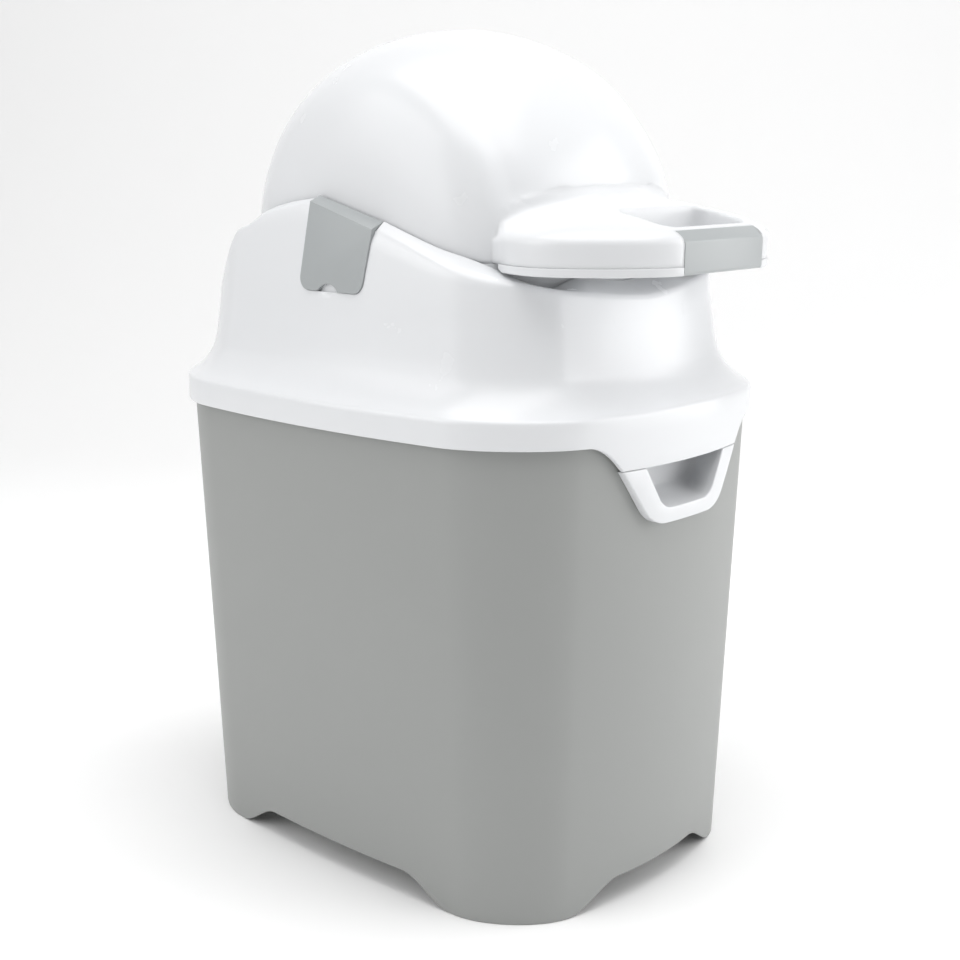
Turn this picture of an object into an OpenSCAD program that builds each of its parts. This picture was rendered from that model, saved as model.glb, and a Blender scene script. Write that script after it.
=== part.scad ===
// Nappy bin with a flip-over drum.
// Origin: centre of the base on the floor. Front is -Y, the drum turns about X, +Z is up.

/* [Bucket] */
// Width of the bucket at its feet
base_w = 253; // [230:1:262]
// Depth of the bucket at its feet
base_d = 342.4; // [320:1:350]
// Width of the bucket at its rim
rim_w = 283; // [276:1:286]
// Depth of the bucket at its rim
rim_d = 366.6; // [360:1:370]
// Height of the bucket's rim
rim_z = 306; // [304:0.5:307]
// Thickness of the bucket's wall
pail_wall = 2.4; // [1.8:0.1:3]
// Height of the floor's upper face
floor_z = 24; // [22:1:30]
// Thickness of the floor
floor_t = 2.6; // [2:0.1:4]
// Height of the arches between the feet
arch_h = 17.6; // [10:0.2:19]

/* [Lid] */
// Height of the skirt's lower edge
skirt_z = 299.5; // [296:0.5:301]
// Height of the flange's upper edge
flange_z = 315.3; // [313:0.1:318]
// How far the skirt stands out from the rim
skirt_reach = 3.8; // [3.6:0.1:5]
// Thickness of the lid's shell
hood_wall = 3; // [2.6:0.1:3.4]
// How far the front apron hangs below the skirt
apron_drop = 16.2; // [12:0.2:18]
// Width of the apron at its lower edge
apron_w = 117; // [112:1:124]
// Room for a pivot between the drum's end and the collar's face
pivot_room = 12; // [11.5:0.5:15]
// Depth of the collar
collar_d = 304; // [302:1:312]
// Height of the ledge beside the pivots
ledge_top = 431; // [428:1:434]
// Height of the ledge at the front
ledge_front = 379; // [374:1:382]
// Height of the ledge at the back
ledge_back = 370; // [366:1:372]

/* [Drum] */
// Radius of the drum at its middle
drum_r = 132; // [126:0.5:132]
// Width of the drum
drum_w = 214; // [208:1:214]
// Height of the drum's axis
axis_z = 408; // [406:0.5:410]
// Place of the drum's axis, front to back
axis_y = -3; // [-5:0.5:0]
// Thickness of the drum's shells
drum_wall = 2.6; // [2:0.1:3.2]
// Depth of the soft crease on each side of the dome
crease = 3; // [0:0.2:4]
// Height of the plate round the chamber's mouth
mouth_z = 343; // [338:1:350]
// Inner radius of the nappy chamber
chamber_r = 62; // [56:0.5:63]
// Height of the chamber's closed end
chamber_top = 516; // [500:1:517]
// Thickness of the chamber's wall
chamber_wall = 2; // [1.6:0.1:2.4]
// Height of the piston
piston_h = 24; // [18:1:34]
// Radius of the pivot pins
pin_r = 7; // [5:0.25:7]

/* [Handle] */
// Width of the handle tongue
tongue_w = 199; // [190:1:200]
// Reach of the handle in front of the origin
tongue_front = 206.3; // [202:0.5:212]
// Radius of the tongue's front corners
tongue_corner = 62; // [50:1:64]
// Height of the handle's lower face over the front ledge
handle_lift = 17; // [16.5:0.1:18]
// Thickness of the cover under the handle
cover_t = 5; // [4:0.2:6]
// Height of the handle's upper edge over the seam with its cover
edge_rise = 15; // [13:0.5:18]
// Width of the finger gap
gap_w = 84; // [80:1:92]
// Front to back size of the finger gap
gap_d = 36; // [30:1:40]
// Front to back size of the bar in front of the gap
bar_d = 12.3; // [11:0.5:16]
// Width of the grey grip
grip_w = 80; // [70:1:82]
// Front to back size of the grip
grip_d = 7; // [5:0.5:8]

/* [Finger pull] */
// Width of the finger pocket at its top
pocket_w = 100; // [88:1:102]
// Height of the pocket's floor
pocket_z = 256; // [254:1:262]
// Depth of the finger pocket
pocket_d = 22; // [16:1:26]
// Height of the frame's lower edge
frame_z = 247; // [244:1:250]

/* [Pivot caps] */
// Width of the caps
cap_w = 56; // [50:1:58]
// Height of the caps' lower edge
cap_z = 380; // [378:1:384]
// How far the caps lean forward at the top
cap_rake = 5.5; // [0:0.5:7]
// How far the caps stand out from the wall
cap_proud = 0.8; // [0.3:0.1:1.5]
// Depth of the pocket that a cap sits in
cap_pocket = 2; // [1.5:0.1:2.2]

/* [Hinge] */
// Distance of each hinge from the middle
hinge_x = 45; // [38:1:52]
// Place of the hinge pins behind the origin
hinge_y = 195; // [193:0.5:196]
// Height of the hinge pins
hinge_z = 302; // [301:0.5:304]
// Radius of the hinge knuckles
knuckle_r = 5; // [4.5:0.1:5]
// Radius of the hinge pins
hinge_pin_r = 2.5; // [2:0.1:3]

/* [Clearances] */
// Running gap between the drum and the lid
drum_gap = 1.2; // [1:0.1:1.8]
// Gap between pieces that touch
fit_gap = 0.3; // [0.2:0.05:0.4]
// Radial play of a pin in its bore
pin_play = 0.06; // [0.03:0.01:0.1]

/* [Hidden] */

// Colours
white = [0.93, 0.94, 0.95];
pail_grey = [0.62, 0.63, 0.62];
trim_grey = [0.68, 0.71, 0.72];
seal_grey = [0.35, 0.36, 0.37];
steel = [0.75, 0.76, 0.78];

// Outlines are rounded rectangles with bowed sides: [half width, half depth, corner, side bow, end bow]
base_line = [base_w / 2, base_d / 2, 38.9, 10, 26];
rim_line = [rim_w / 2, rim_d / 2, 45, 14.8, 31.6];
flange_line = [rim_w / 2 + skirt_reach, rim_d / 2 + skirt_reach, 48.3, 14.8, 31.6];
collar_w = drum_w + 2 * pivot_room;
collar_line = [collar_w / 2, collar_d / 2, 42, 5, 22];
collar_y = 1;
collar_z = 405;

// Segments of a quarter outline
side_n = 8;
corner_n = 8;
end_n = 12;
quarter_n = side_n + corner_n + end_n;
ring_n = 4 * quarter_n;

function mix(p, q, t) = p + (q - p) * t;
function smooth(t) = let (c = max(0, min(1, t))) c * c * (3 - 2 * c);
function inset(p, d) = [p[0] - d, p[1] - d, max(p[2] - d, 2), p[3], p[4]];
function pail_line(z) = mix(base_line, rim_line, z / rim_z);

// One point of an outline's quarter, k running from the side's middle to the end's middle
function quarter_point(p, k) =
    let (a = p[0] - p[3], b = p[1] - p[4], r = p[2],
        turn = 90 * (k - side_n) / corner_n,
        q = k <= side_n ? [a, (b - r) * k / side_n]
            : k <= side_n + corner_n ? [a - r + r * cos(turn), b - r + r * sin(turn)]
            : [(a - r) * (quarter_n - k) / end_n, b])
    [q[0] + p[3] * (1 - pow(q[1] / b, 2)) * q[0] / a, q[1] + p[4] * (1 - pow(q[0] / a, 2)) * q[1] / b];

function quadrant(i) = floor(i / quarter_n);
function step_in_quarter(i) = quadrant(i) % 2 == 0 ? i % quarter_n : quarter_n - i % quarter_n;
function ring_point(p, i) =
    let (q = quarter_point(p, step_in_quarter(i)), c = quadrant(i))
    [c == 0 || c == 3 ? q[0] : -q[0], c < 2 ? q[1] : -q[1]];
function is_front(i) = quadrant(i) >= 2;

// Distance round the collar from the middle of its side to point i
function travel(p, i) =
    let (k = step_in_quarter(i), a = p[0] - p[3], b = p[1] - p[4], r = p[2])
    k <= side_n ? (b - r) * k / side_n
    : k <= side_n + corner_n ? b - r + r * PI / 2 * (k - side_n) / corner_n
    : b - r + r * PI / 2 + (a - r) * (k - side_n - corner_n) / end_n;
half_travel = travel(collar_line, quarter_n);

// A flat ring of points at height z
function ring(p, z, dy = 0) = [for (i = [0:ring_n - 1]) let (q = ring_point(p, i)) [q[0], q[1] + dy, z]];

// Side faces between rings of n points, clockwise from outside
function side_faces(n, rows, closed) =
    [for (j = [0:rows - (closed ? 1 : 2)]) for (i = [0:n - 1])
        let (k = (i + 1) % n, a = j * n + i, b = j * n + k,
            d = ((j + 1) % rows) * n + i, c = ((j + 1) % rows) * n + k)
        each [[a, d, c], [a, c, b]]];

// A closed loop of rings, such as a shell open at both ends
module ring_shell(rings) {
    n = len(rings[0]);
    polyhedron(points = [for (r = rings) each r], faces = side_faces(n, len(rings), true), convexity = 10);
}

// A run of rings with a flat cap at each end
module capped_loft(rings) {
    n = len(rings[0]);
    rows = len(rings);
    polyhedron(
        points = [for (r = rings) each r],
        faces = concat(side_faces(n, rows, false), [[for (i = [0:n - 1]) i]],
            [[for (i = [n - 1:-1:0]) (rows - 1) * n + i]]),
        convexity = 10);
}

// The same for C-shaped sections, whose second half of points runs back along the inner face
module shell_loft(sections) {
    n = len(sections[0]);
    last = (len(sections) - 1) * n;
    strip = [for (k = [0:n / 2 - 2]) [k, k + 1, n - 2 - k, n - 1 - k]];
    polyhedron(
        points = [for (s = sections) each s],
        faces = concat(side_faces(n, len(sections), false), strip,
            [for (f = strip) [last + f[3], last + f[2], last + f[1], last + f[0]]]),
        convexity = 10);
}

module mirrored(side) {
    if (side == "left") children();
    else mirror([1, 0, 0]) children();
}

// ---------------------------------------------------------------- bucket

// Lower edge of the wall: arches between four corner feet
arch_side = 62;
arch_end = 38;
arch_run = 40;
function foot_z(i) =
    let (q = ring_point(base_line, i), k = step_in_quarter(i),
        along_side = smooth((arch_side + arch_run - abs(q[1])) / arch_run),
        along_end = smooth((arch_end + arch_run - abs(q[0])) / arch_run))
    arch_h * (k <= side_n + corner_n / 2 ? along_side : along_end);
function foot_ring(d) =
    [for (i = [0:ring_n - 1])
        let (z = foot_z(i), q = ring_point(inset(pail_line(z), d), i)) [q[0], q[1], z]];

module pail_solid(grow = 0) {
    capped_loft([ring(inset(base_line, -grow), 0), ring(inset(rim_line, -grow), rim_z)]);
}

module pail() color(pail_grey) {
    under = floor_z - floor_t;
    difference() {
        capped_loft([
            ring(inset(pail_line(under), pail_wall), under),
            foot_ring(pail_wall),
            foot_ring(0),
            ring(pail_line(floor_z), floor_z),
            ring(pail_line(rim_z / 2), rim_z / 2),
            ring(rim_line, rim_z),
            ring(inset(rim_line, pail_wall), rim_z),
            ring(inset(pail_line(floor_z + 6), pail_wall), floor_z + 6),
            ring(inset(pail_line(floor_z), pail_wall + 5), floor_z)]);
        pocket_block(fit_gap, -300, rim_z - 4);
    }
}

// ---------------------------------------------------------------- finger pull

pocket_foot_w = 60;
pocket_corner = 14;
frame_top_w = apron_w;
frame_foot_w = 90;
frame_corner = 24;
tub_wall = 2.4;
tub_top = rim_z - 4;
frame_top = skirt_z - apron_drop - fit_gap;
rim_front = -rim_d / 2;
tub_back = rim_front + pocket_d + tub_wall;

// Upright shape that is wide at the top, with round lower corners, drawn through Y from y0 to y1
module cup_shape(w_top, w_foot, z0, z1, r, y0, y1) {
    translate([0, y1, 0]) rotate([90, 0, 0]) linear_extrude(y1 - y0)
        intersection() {
            hull() {
                translate([-w_top / 2, z1 - 1]) square([w_top, 1]);
                for (s = [-1, 1]) translate([s * (w_foot / 2 - r), z0 + r]) circle(r, $fn = 48);
            }
            translate([-w_top, z0 - 1]) square([2 * w_top, z1 - z0 + 1]);
        }
}

module pocket_block(grow, y0, top) {
    cup_shape(pocket_w + 2 * (tub_wall + grow), pocket_foot_w + 2 * (tub_wall + grow),
        pocket_z - tub_wall - grow, top + grow, pocket_corner + tub_wall, y0, tub_back + grow);
}

module finger_pull() color(white) {
    difference() {
        union() {
            intersection() {
                pocket_block(0, -300, tub_top);
                pail_solid(fit_gap);
            }
            difference() {
                intersection() {
                    cup_shape(frame_top_w, frame_foot_w, frame_z, frame_top, frame_corner, -300, 0);
                    translate([0, 0, frame_z - 1]) linear_extrude(frame_top - frame_z + 2)
                        polygon([for (i = [0:ring_n - 1]) ring_point(flange_line, i)]);
                }
                pail_solid(0.05);
            }
        }
        cup_shape(pocket_w, pocket_foot_w, pocket_z, tub_top - tub_wall, pocket_corner,
            -300, tub_back - tub_wall);
    }
}

// ---------------------------------------------------------------- bag ring and gasket

bag_leg = 22;
bag_short_leg = 1.2;
bag_t = 1.8;
function bag_leg_z(i) =
    let (x = ring_point(rim_line, i)[0])
    is_front(i) && abs(x) < pocket_w / 2 + bag_leg ? rim_z - bag_short_leg : rim_z - bag_leg;
function bag_low(d) =
    [for (i = [0:ring_n - 1])
        let (z = bag_leg_z(i), q = ring_point(inset(pail_line(z), d), i)) [q[0], q[1], z]];

module bag_ring() color(white) {
    out = pail_wall + 0.6;
    top = rim_z + 0.1;
    ring_shell([
        bag_low(out),
        ring(inset(rim_line, out), top),
        ring(inset(rim_line, 0.2), top),
        ring(inset(rim_line, 0.2), top + bag_t),
        ring(inset(rim_line, out + bag_t), top + bag_t),
        bag_low(out + bag_t)]);
}

ceiling_z = flange_z - 2.6;
module lid_gasket() color(seal_grey) {
    low = rim_z + bag_t + 0.4;
    high = ceiling_z - 0.2;
    ring_shell([
        ring(inset(rim_line, 0.6), low),
        ring(inset(rim_line, 0.6), high),
        ring(inset(rim_line, 5.4), high),
        ring(inset(rim_line, 5.4), low)]);
}

// ---------------------------------------------------------------- hinge

arm_w = 15;
arm_t = 10;
knuckle_w = 9;
knuckle_gap = 0.4;
plate_t = 2.5;
plate_h = 34;
plate_w = arm_w + 2 * (knuckle_w + knuckle_gap);
back_tilt = atan((rim_d - base_d) / 2 / rim_z);
hinge_pin_len = plate_w - 1;
hinge_screw_r = 1.9;
hinge_screw_x = 10;
hinge_head_r = 3.6;
hinge_head_h = 1.8;
shelf_drop = 14;
shelf_t = 5;

// Place of an outline's back edge at the hinge
function back_at(p, x) = let (a = p[0] - p[3]) p[1] - p[4] + p[4] * (1 - pow(x / a, 2));

module knuckle(w) {
    rotate([0, 90, 0]) cylinder(r = knuckle_r, h = w, center = true, $fn = 40);
}

module hinge_bore() {
    rotate([0, 90, 0]) cylinder(r = hinge_pin_r + pin_play, h = 80, center = true, $fn = 40);
}

module hinge_bracket() {
    inner = back_at(rim_line, hinge_x - plate_w / 2) + 0.2;
    difference() {
        union() {
            for (s = [-1, 1]) translate([-hinge_x + s * (arm_w / 2 + knuckle_gap + knuckle_w / 2), 0, 0]) {
                translate([0, hinge_y, hinge_z]) knuckle(knuckle_w);
                translate([-knuckle_w / 2, hinge_y, hinge_z - shelf_drop])
                    cube([knuckle_w, knuckle_r, shelf_drop]);
            }
            translate([-hinge_x - plate_w / 2, inner, hinge_z - shelf_drop])
                cube([plate_w, hinge_y + knuckle_r - inner, shelf_t]);
            translate([-hinge_x - plate_w / 2, inner, hinge_z - shelf_drop + shelf_t - plate_h])
                cube([plate_w, plate_t, plate_h]);
        }
        translate([-hinge_x, hinge_y, hinge_z]) hinge_bore();
        for (x = [-hinge_screw_x, hinge_screw_x]) translate([-hinge_x + x, 0, hinge_z - plate_h])
            rotate([-90, 0, 0]) cylinder(r = hinge_screw_r + fit_gap, h = 260, $fn = 32);
    }
}

module hinge_bracket_left() color(white) hinge_bracket();
module hinge_bracket_right() color(white) mirrored("right") hinge_bracket();

module hinge_pin() {
    translate([-hinge_x, hinge_y, hinge_z]) rotate([0, 90, 0])
        cylinder(r = hinge_pin_r, h = hinge_pin_len, center = true, $fn = 40);
}
module hinge_pin_left() color(steel) hinge_pin();
module hinge_pin_right() color(steel) mirrored("right") hinge_pin();

module hinge_screws() color(steel) {
    seat = back_at(rim_line, hinge_x - plate_w / 2) + 0.2 + plate_t;
    for (s = [-1, 1]) for (x = [-hinge_screw_x, hinge_screw_x])
        translate([s * hinge_x + x, seat, hinge_z - plate_h]) rotate([-90, 0, 0]) {
            cylinder(r = hinge_head_r, h = hinge_head_h, $fn = 32);
            translate([0, 0, -plate_t]) cylinder(r = hinge_screw_r, h = plate_t, $fn = 32);
        }
}

module hinge_arm() {
    face = back_at(flange_line, hinge_x - arm_w / 2) + 0.1;
    difference() {
        union() {
            translate([-hinge_x, hinge_y, hinge_z]) knuckle(arm_w);
            translate([-hinge_x - arm_w / 2, face, hinge_z - arm_t / 5]) cube([arm_w, hinge_y - face, arm_t]);
        }
        translate([-hinge_x, hinge_y, hinge_z]) hinge_bore();
    }
}
module hinge_arm_left() color(white) hinge_arm();
module hinge_arm_right() color(white) mirrored("right") hinge_arm();

// ---------------------------------------------------------------- lid shell

// Height of the ledge's outer edge, highest just behind the pivots. Towards the front it falls evenly,
// and towards the back it falls slowly and then drops to make room for the turned-over handle.
peak = 24;
back_slope = 0.075;
back_curve = 0.0015;
drop_from = 90;
drop_run = 42;
function ledge_z(i) =
    let (s = travel(collar_line, i), t = peak + (is_front(i) ? s : -s))
    t > 0 ? ledge_front + (ledge_top - ledge_front)
        * pow(1 - t / (half_travel + peak), 1 + 0.5 * smooth(t / 140))
    : mix(ledge_top + back_slope * t - back_curve * pow(t, 2), ledge_back,
        smooth((s - drop_from) / drop_run));
// Height of the ledge's inner edge beside the drum: above the outer edge at the sides and at the front,
// below it between the two, and in a notch for the handle at the back
inner_rise = 8.7;
inner_rise_back = 5;
inner_fall = 3.5;
inner_run = 65;
lip_rise = 8.5;
lip_from = 148;
lip_run = 36;
notch_from = 70;
notch_run = 32;
function inner_z(i) =
    let (s = travel(collar_line, i), rise = mix(inner_rise_back, inner_rise, smooth(s / 30)))
    is_front(i) ? ledge_z(i) + mix(rise, -inner_fall, smooth((s - 100) / inner_run))
        + (inner_fall + lip_rise) * smooth((s - lip_from) / lip_run)
    : mix(ledge_z(i) + inner_rise_back, ledge_back + 1, smooth((s - notch_from) / notch_run));

// The collar leans in and the fillet runs out to the flange: [how far out, height]
fillet = [[0.985, 1.2], [0.95, 2.6], [0.87, 4.2], [0.76, 6.4], [0.64, 9.4], [0.52, 13.2], [0.42, 17.4],
    [0.34, 22], [0.285, 27.6], [0.245, 33.5], [0.2, 42], [0.155, 51.5]];
lean = 0.00395;
function lid_line(t) = mix(collar_line, flange_line, t);
function lid_ring(t, z, d = 0) = ring(inset(lid_line(t), d), z, collar_y * (1 - t));

// Part of the collar between the fillet and the ledge, u from 0 to 1
low_collar_z = flange_z + 51.5;
function collar_ring(u, d, drop) =
    [for (i = [0:ring_n - 1])
        let (z = low_collar_z + u * (ledge_z(i) - drop - low_collar_z), t = (collar_z - z) * lean,
            q = ring_point(inset(lid_line(t), d), i))
        [q[0], q[1] + collar_y * (1 - t), z]];

// Profile of the drum: a swollen barrel about X
barrel = 1.73;
fullness = 5.5;
function drum_radius(x, grow = 0) =
    (drum_r + grow) * pow(max(0, 1 - pow(min(1, abs(x) / (drum_w / 2 + grow)), barrel)), 1 / fullness);

// Where a line from the axis through q meets the drum at height z, by halving
function reach(q, z, grow, lo, hi, n) =
    n == 0 ? lo
    : let (m = (lo + hi) / 2, x = q[0] * m, y = q[1] * m, r = drum_radius(x, grow))
        (r > 0 && pow(y, 2) + pow(z - axis_z, 2) < pow(r, 2))
        ? reach(q, z, grow, m, hi, n - 1) : reach(q, z, grow, lo, m, n - 1);
function mouth_ring(grow, drop) =
    [for (i = [0:ring_n - 1])
        let (z = inner_z(i) - drop, p = ring_point(collar_line, i), q = [p[0], p[1] + collar_y - axis_y],
            k = reach(q, z, grow, 0, 1.2, 18))
        [q[0] * k, q[1] * k + axis_y, z]];

// Skirt's lower edge with the apron hanging at the front
apron_run = 25;
function skirt_low(i) =
    let (x = abs(ring_point(flange_line, i)[0]), t = (apron_w / 2 + apron_run - x) / apron_run)
    is_front(i) ? skirt_z - apron_drop * pow(max(0, min(1, t)), 2) : skirt_z;
function skirt_ring(d) =
    [for (i = [0:ring_n - 1]) let (q = ring_point(inset(flange_line, d), i)) [q[0], q[1], skirt_low(i)]];

lip_w = 2;
lip_h = 6;
module hood_shell() {
    ring_shell(concat(
        [skirt_ring(0), ring(flange_line, flange_z - 2)],
        [for (f = fillet) lid_ring(f[0], flange_z + f[1] - 1.2)],
        [collar_ring(0.5, 0, 4), collar_ring(1, 0, 4), collar_ring(1, 1.2, 1.2), collar_ring(1, 4, 0)],
        [mouth_ring(drum_gap + 0.6, 0), mouth_ring(drum_gap, 0.8), mouth_ring(drum_gap, lip_h),
            mouth_ring(drum_gap + lip_w, lip_h), mouth_ring(drum_gap + lip_w, hood_wall)],
        [collar_ring(1, hood_wall, hood_wall + 2), collar_ring(0.5, hood_wall, 4)],
        [for (k = [len(fillet) - 1:-1:4]) lid_ring(fillet[k][0], flange_z + fillet[k][1] - 3.4, hood_wall)],
        [lid_ring(0.7, ceiling_z, hood_wall), ring(inset(flange_line, hood_wall - 0.4), ceiling_z),
            skirt_ring(hood_wall - 0.4)]));
}

module hood() color(white) {
    difference() {
        hood_shell();
        for (side = ["left", "right"]) mirrored(side) {
            cap_block(fit_gap, cap_pocket, 60);
            cap_top(fit_gap, 60);
        }
    }
}

module drum_seal() color(seal_grey) {
    ring_shell([
        mouth_ring(0.45, lip_h + 3),
        mouth_ring(drum_gap + lip_w, lip_h + 3),
        mouth_ring(drum_gap + lip_w, lip_h + 0.1),
        mouth_ring(0.45, lip_h + 0.1)]);
}

// ---------------------------------------------------------------- pivots

wall_lean = atan(lean * (flange_line[0] - collar_line[0]));
wall_x = collar_w / 2;
cap_t = cap_pocket + cap_proud - 0.15;
notch_h = 5;
notch_r = 11;
notch_y = 2.5;
cap_corner = 8;
cap_front_z = 418.5;
cap_back_z = 433;
cap_top_t = 2.4;
cap_in = drum_w / 2 + drum_gap + 0.2;

// Side view of a cap: sloping top, sides that lean forward, round lower corners
cap_front = -cap_w / 2 - cap_rake;
cap_back = cap_w / 2 - cap_rake;
module cap_outline(grow) {
    hull() {
        for (s = [-1, 1])
            translate([s * (cap_w / 2 - cap_corner), cap_z + cap_corner]) circle(cap_corner + grow, $fn = 32);
        polygon([[cap_front - grow, cap_front_z - 1], [cap_front - grow, cap_front_z + grow],
            [cap_back + grow, cap_back_z + grow], [cap_back + grow, cap_back_z - 1]]);
    }
}

// Slab of the outline laid on the leaning left wall; depth goes in from the wall, proud goes out
module cap_block(grow, depth, proud) {
    translate([-wall_x, axis_y, collar_z]) rotate([0, wall_lean, 0]) translate([-proud, 0, -collar_z])
        rotate([90, 0, 90]) linear_extrude(depth + proud) cap_outline(grow);
}

// Top of the cap over the ledge: its face rises towards the drum and slopes with the ledge.
// With up above 0 it becomes the cutter that clears the space over it.
cap_out = wall_x + 3;
cap_rise = 4.5;
cap_dip = 1;
// The caps lift off along their leaning sides
lift_lean = 0.15;
seam = 0.1;
module cap_top(grow, up) {
    ends = [for (c = [[cap_front - grow + seam, cap_front_z], [cap_back + grow - seam, cap_back_z]])
        let (y = c[0] + axis_y, z = c[1] - cap_top_t - grow)
        each [[-cap_out, y, z - cap_dip], [-cap_in + grow, y, z + cap_rise]]];
    hull() for (h = [0, up])
        translate([0, -lift_lean * h, h])
            polyhedron(points = concat(ends, [for (p = ends) p + [0, 0, cap_top_t + grow]]),
                faces = [[0, 1, 2], [1, 3, 2], [4, 6, 5], [5, 6, 7], [0, 2, 4], [2, 6, 4], [1, 5, 3],
                    [3, 5, 7], [0, 4, 1], [1, 4, 5], [2, 3, 6], [3, 7, 6]]);
}

// Everything inside a plane parallel to the leaning wall and some way outside it
module inside_of(proud) {
    translate([-wall_x, axis_y - cap_w, collar_z]) rotate([0, wall_lean, 0])
        translate([-proud, 0, -50]) cube([60, 2 * cap_w, 120]);
}

module pivot_cap() {
    difference() {
        intersection() {
            union() {
                cap_block(0, cap_t - cap_proud, cap_proud + 1);
                cap_top(0, 0);
            }
            inside_of(cap_proud);
        }
        translate([-wall_x, axis_y + notch_y, cap_z + notch_h - notch_r]) rotate([0, 90, 0])
            cylinder(r = notch_r, h = 40, center = true, $fn = 64);
    }
}
module pivot_cap_left() color(trim_grey) pivot_cap();
module pivot_cap_right() color(trim_grey) mirrored("right") pivot_cap();

bearing_in = drum_w / 2 + 1.4;
bearing_out = wall_x - hood_wall - 1.35;
bearing_half = 12;
bearing_top = 9;
module pivot_bearing() {
    translate([0, axis_y, axis_z]) difference() {
        translate([-bearing_out, -bearing_half, -bearing_half])
            cube([bearing_out - bearing_in, 2 * bearing_half, bearing_half + bearing_top]);
        rotate([0, 90, 0]) cylinder(r = pin_r + pin_play, h = 300, center = true, $fn = 64);
    }
}
module pivot_bearing_left() color(white) pivot_bearing();
module pivot_bearing_right() color(white) mirrored("right") pivot_bearing();

hub_r = 18;
hub_t = 3;
module pivot_pin() {
    inner = drum_w / 2 - drum_wall - 0.2;
    translate([0, axis_y, axis_z]) rotate([0, -90, 0]) {
        translate([0, 0, inner - hub_t]) cylinder(r = hub_r, h = hub_t, $fn = 64);
        translate([0, 0, inner - 0.1]) cylinder(r = pin_r, h = bearing_out - inner, $fn = 64);
    }
}
module pivot_pin_left() color(white) pivot_pin();
module pivot_pin_right() color(white) mirrored("right") pivot_pin();

// ---------------------------------------------------------------- drum

handle_z = ledge_front + handle_lift;
split_z = handle_z + cover_t;
edge_z = split_z + edge_rise;
pole_r = pin_r + 1;
profile_n = 15;
sweep_n = 36;
// Half profile as [x, radius], from the middle to the pole
function profile_point(t, grow) =
    [(drum_w / 2 + grow) * pow(sin(t), 2 / barrel), (drum_r + grow) * pow(cos(t), 2 / fullness)];
function half_profile(grow) =
    concat([for (k = [0:profile_n - 1]) profile_point(90 * k / profile_n, grow)],
        [profile_point(88.5, grow), [drum_w / 2 + grow, pole_r]]);
function whole_profile(grow) =
    let (h = half_profile(grow), n = len(h))
    concat([for (k = [n - 1:-1:1]) [-h[k][0], h[k][1]]], h);

// The middle of the dome is set back a little between the two creases
crease_x = 86;
crease_w = 7;
function set_back(x, a) =
    crease * smooth((crease_x - abs(x)) / crease_w) * smooth((a - 8) / 10) * smooth((62 - a) / 30);
function dome_point(p, u) =
    let (dip = asin((axis_z - split_z) / p[1]), a = u * (180 + 2 * dip) - dip, r = p[1] - set_back(p[0], a))
    [p[0], axis_y - r * cos(a), axis_z + r * sin(a)];
function dome_section(u) =
    let (o = whole_profile(0), n = whole_profile(-drum_wall), m = len(o))
    [for (p = o) dome_point(p, u), for (k = [m - 1:-1:0]) dome_point(n[k], u)];

// Distance in from the tongue's edge, for a corner that is a little flatter than round.
// The edge draws in towards the drum and flares out again where it meets it.
tongue_soft = 1.6;
tongue_taper = 0.0085;
taper_from = -145;
flare = 5;
flare_run = 4;
function off_drum(x, y) = axis_y - y - drum_radius(x);
function edge_distance(x, y) =
    let (r = tongue_corner,
        qx = abs(x) + tongue_taper * pow(max(0, y - taper_from), 2) - (tongue_w / 2 - r),
        qy = -y - (tongue_front - r),
        corner = pow(pow(max(qx, 0), tongue_soft) + pow(max(qy, 0), tongue_soft), 1 / tongue_soft))
    r - corner - min(max(qx, qy), 0);
// Height of the tongue's upper face: a crown inside the edge and a fillet up to the drum
crown_h = 6;
crown_run = 8;
deck_slope = 0.2;
fillet_h = 8;
fillet_run = 5;
fillet_in = 12;
function deck_z(x, y) =
    let (d = max(0, edge_distance(x, y)), e = max(0, off_drum(x, y)))
    edge_z + crown_h * (1 - exp(-d / crown_run)) + deck_slope * d
        + fillet_h * exp(-e / fillet_run) * smooth(d / fillet_in);

gap_front = tongue_front - bar_d;
gap_mid = gap_front - gap_d / 2;
gap_corner = 9;
function gap_distance(x, y) =
    let (qx = abs(x) - (gap_w / 2 - gap_corner), qy = abs(y + gap_mid) - (gap_d / 2 - gap_corner))
    norm([max(qx, 0), max(qy, 0)]) + min(max(qx, qy), 0) - gap_corner;

tongue_n = 120;
function tongue_inside(x, y, root, wall) =
    let (e = off_drum(x, y))
    min(edge_distance(x, y) - wall + flare * exp(-max(e, 0) / flare_run), e - root);
// How far the tongue reaches from the gap's middle at angle a, stopping short of the drum by root
// and of the tongue's edge by wall
function tongue_reach(a, root, wall = 0, lo = 10, hi = 160, n = 16) =
    n == 0 ? lo
    : let (m = (lo + hi) / 2)
        tongue_inside(m * cos(a), m * sin(a) - gap_mid, root, wall) > 0
        ? tongue_reach(a, root, wall, m, hi, n - 1) : tongue_reach(a, root, wall, lo, m, n - 1);
function gap_reach(a, lo, hi, n) =
    n == 0 ? hi
    : let (m = (lo + hi) / 2)
        gap_distance(m * cos(a), m * sin(a) - gap_mid) < 0
        ? gap_reach(a, m, hi, n - 1) : gap_reach(a, lo, m, n - 1);
turns = [for (i = [0:tongue_n - 1]) 360 * (i + 0.5) / tongue_n];
skin = 2.6;
seat_wall = 5.5;
hollow_root = 2.5;
outer_reach = [for (a = turns) tongue_reach(a, -drum_wall / 2)];
hollow_reach = [for (a = turns) tongue_reach(a, hollow_root, skin)];
inner_reach = [for (a = turns) gap_reach(a, 5, 70, 16)];

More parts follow.
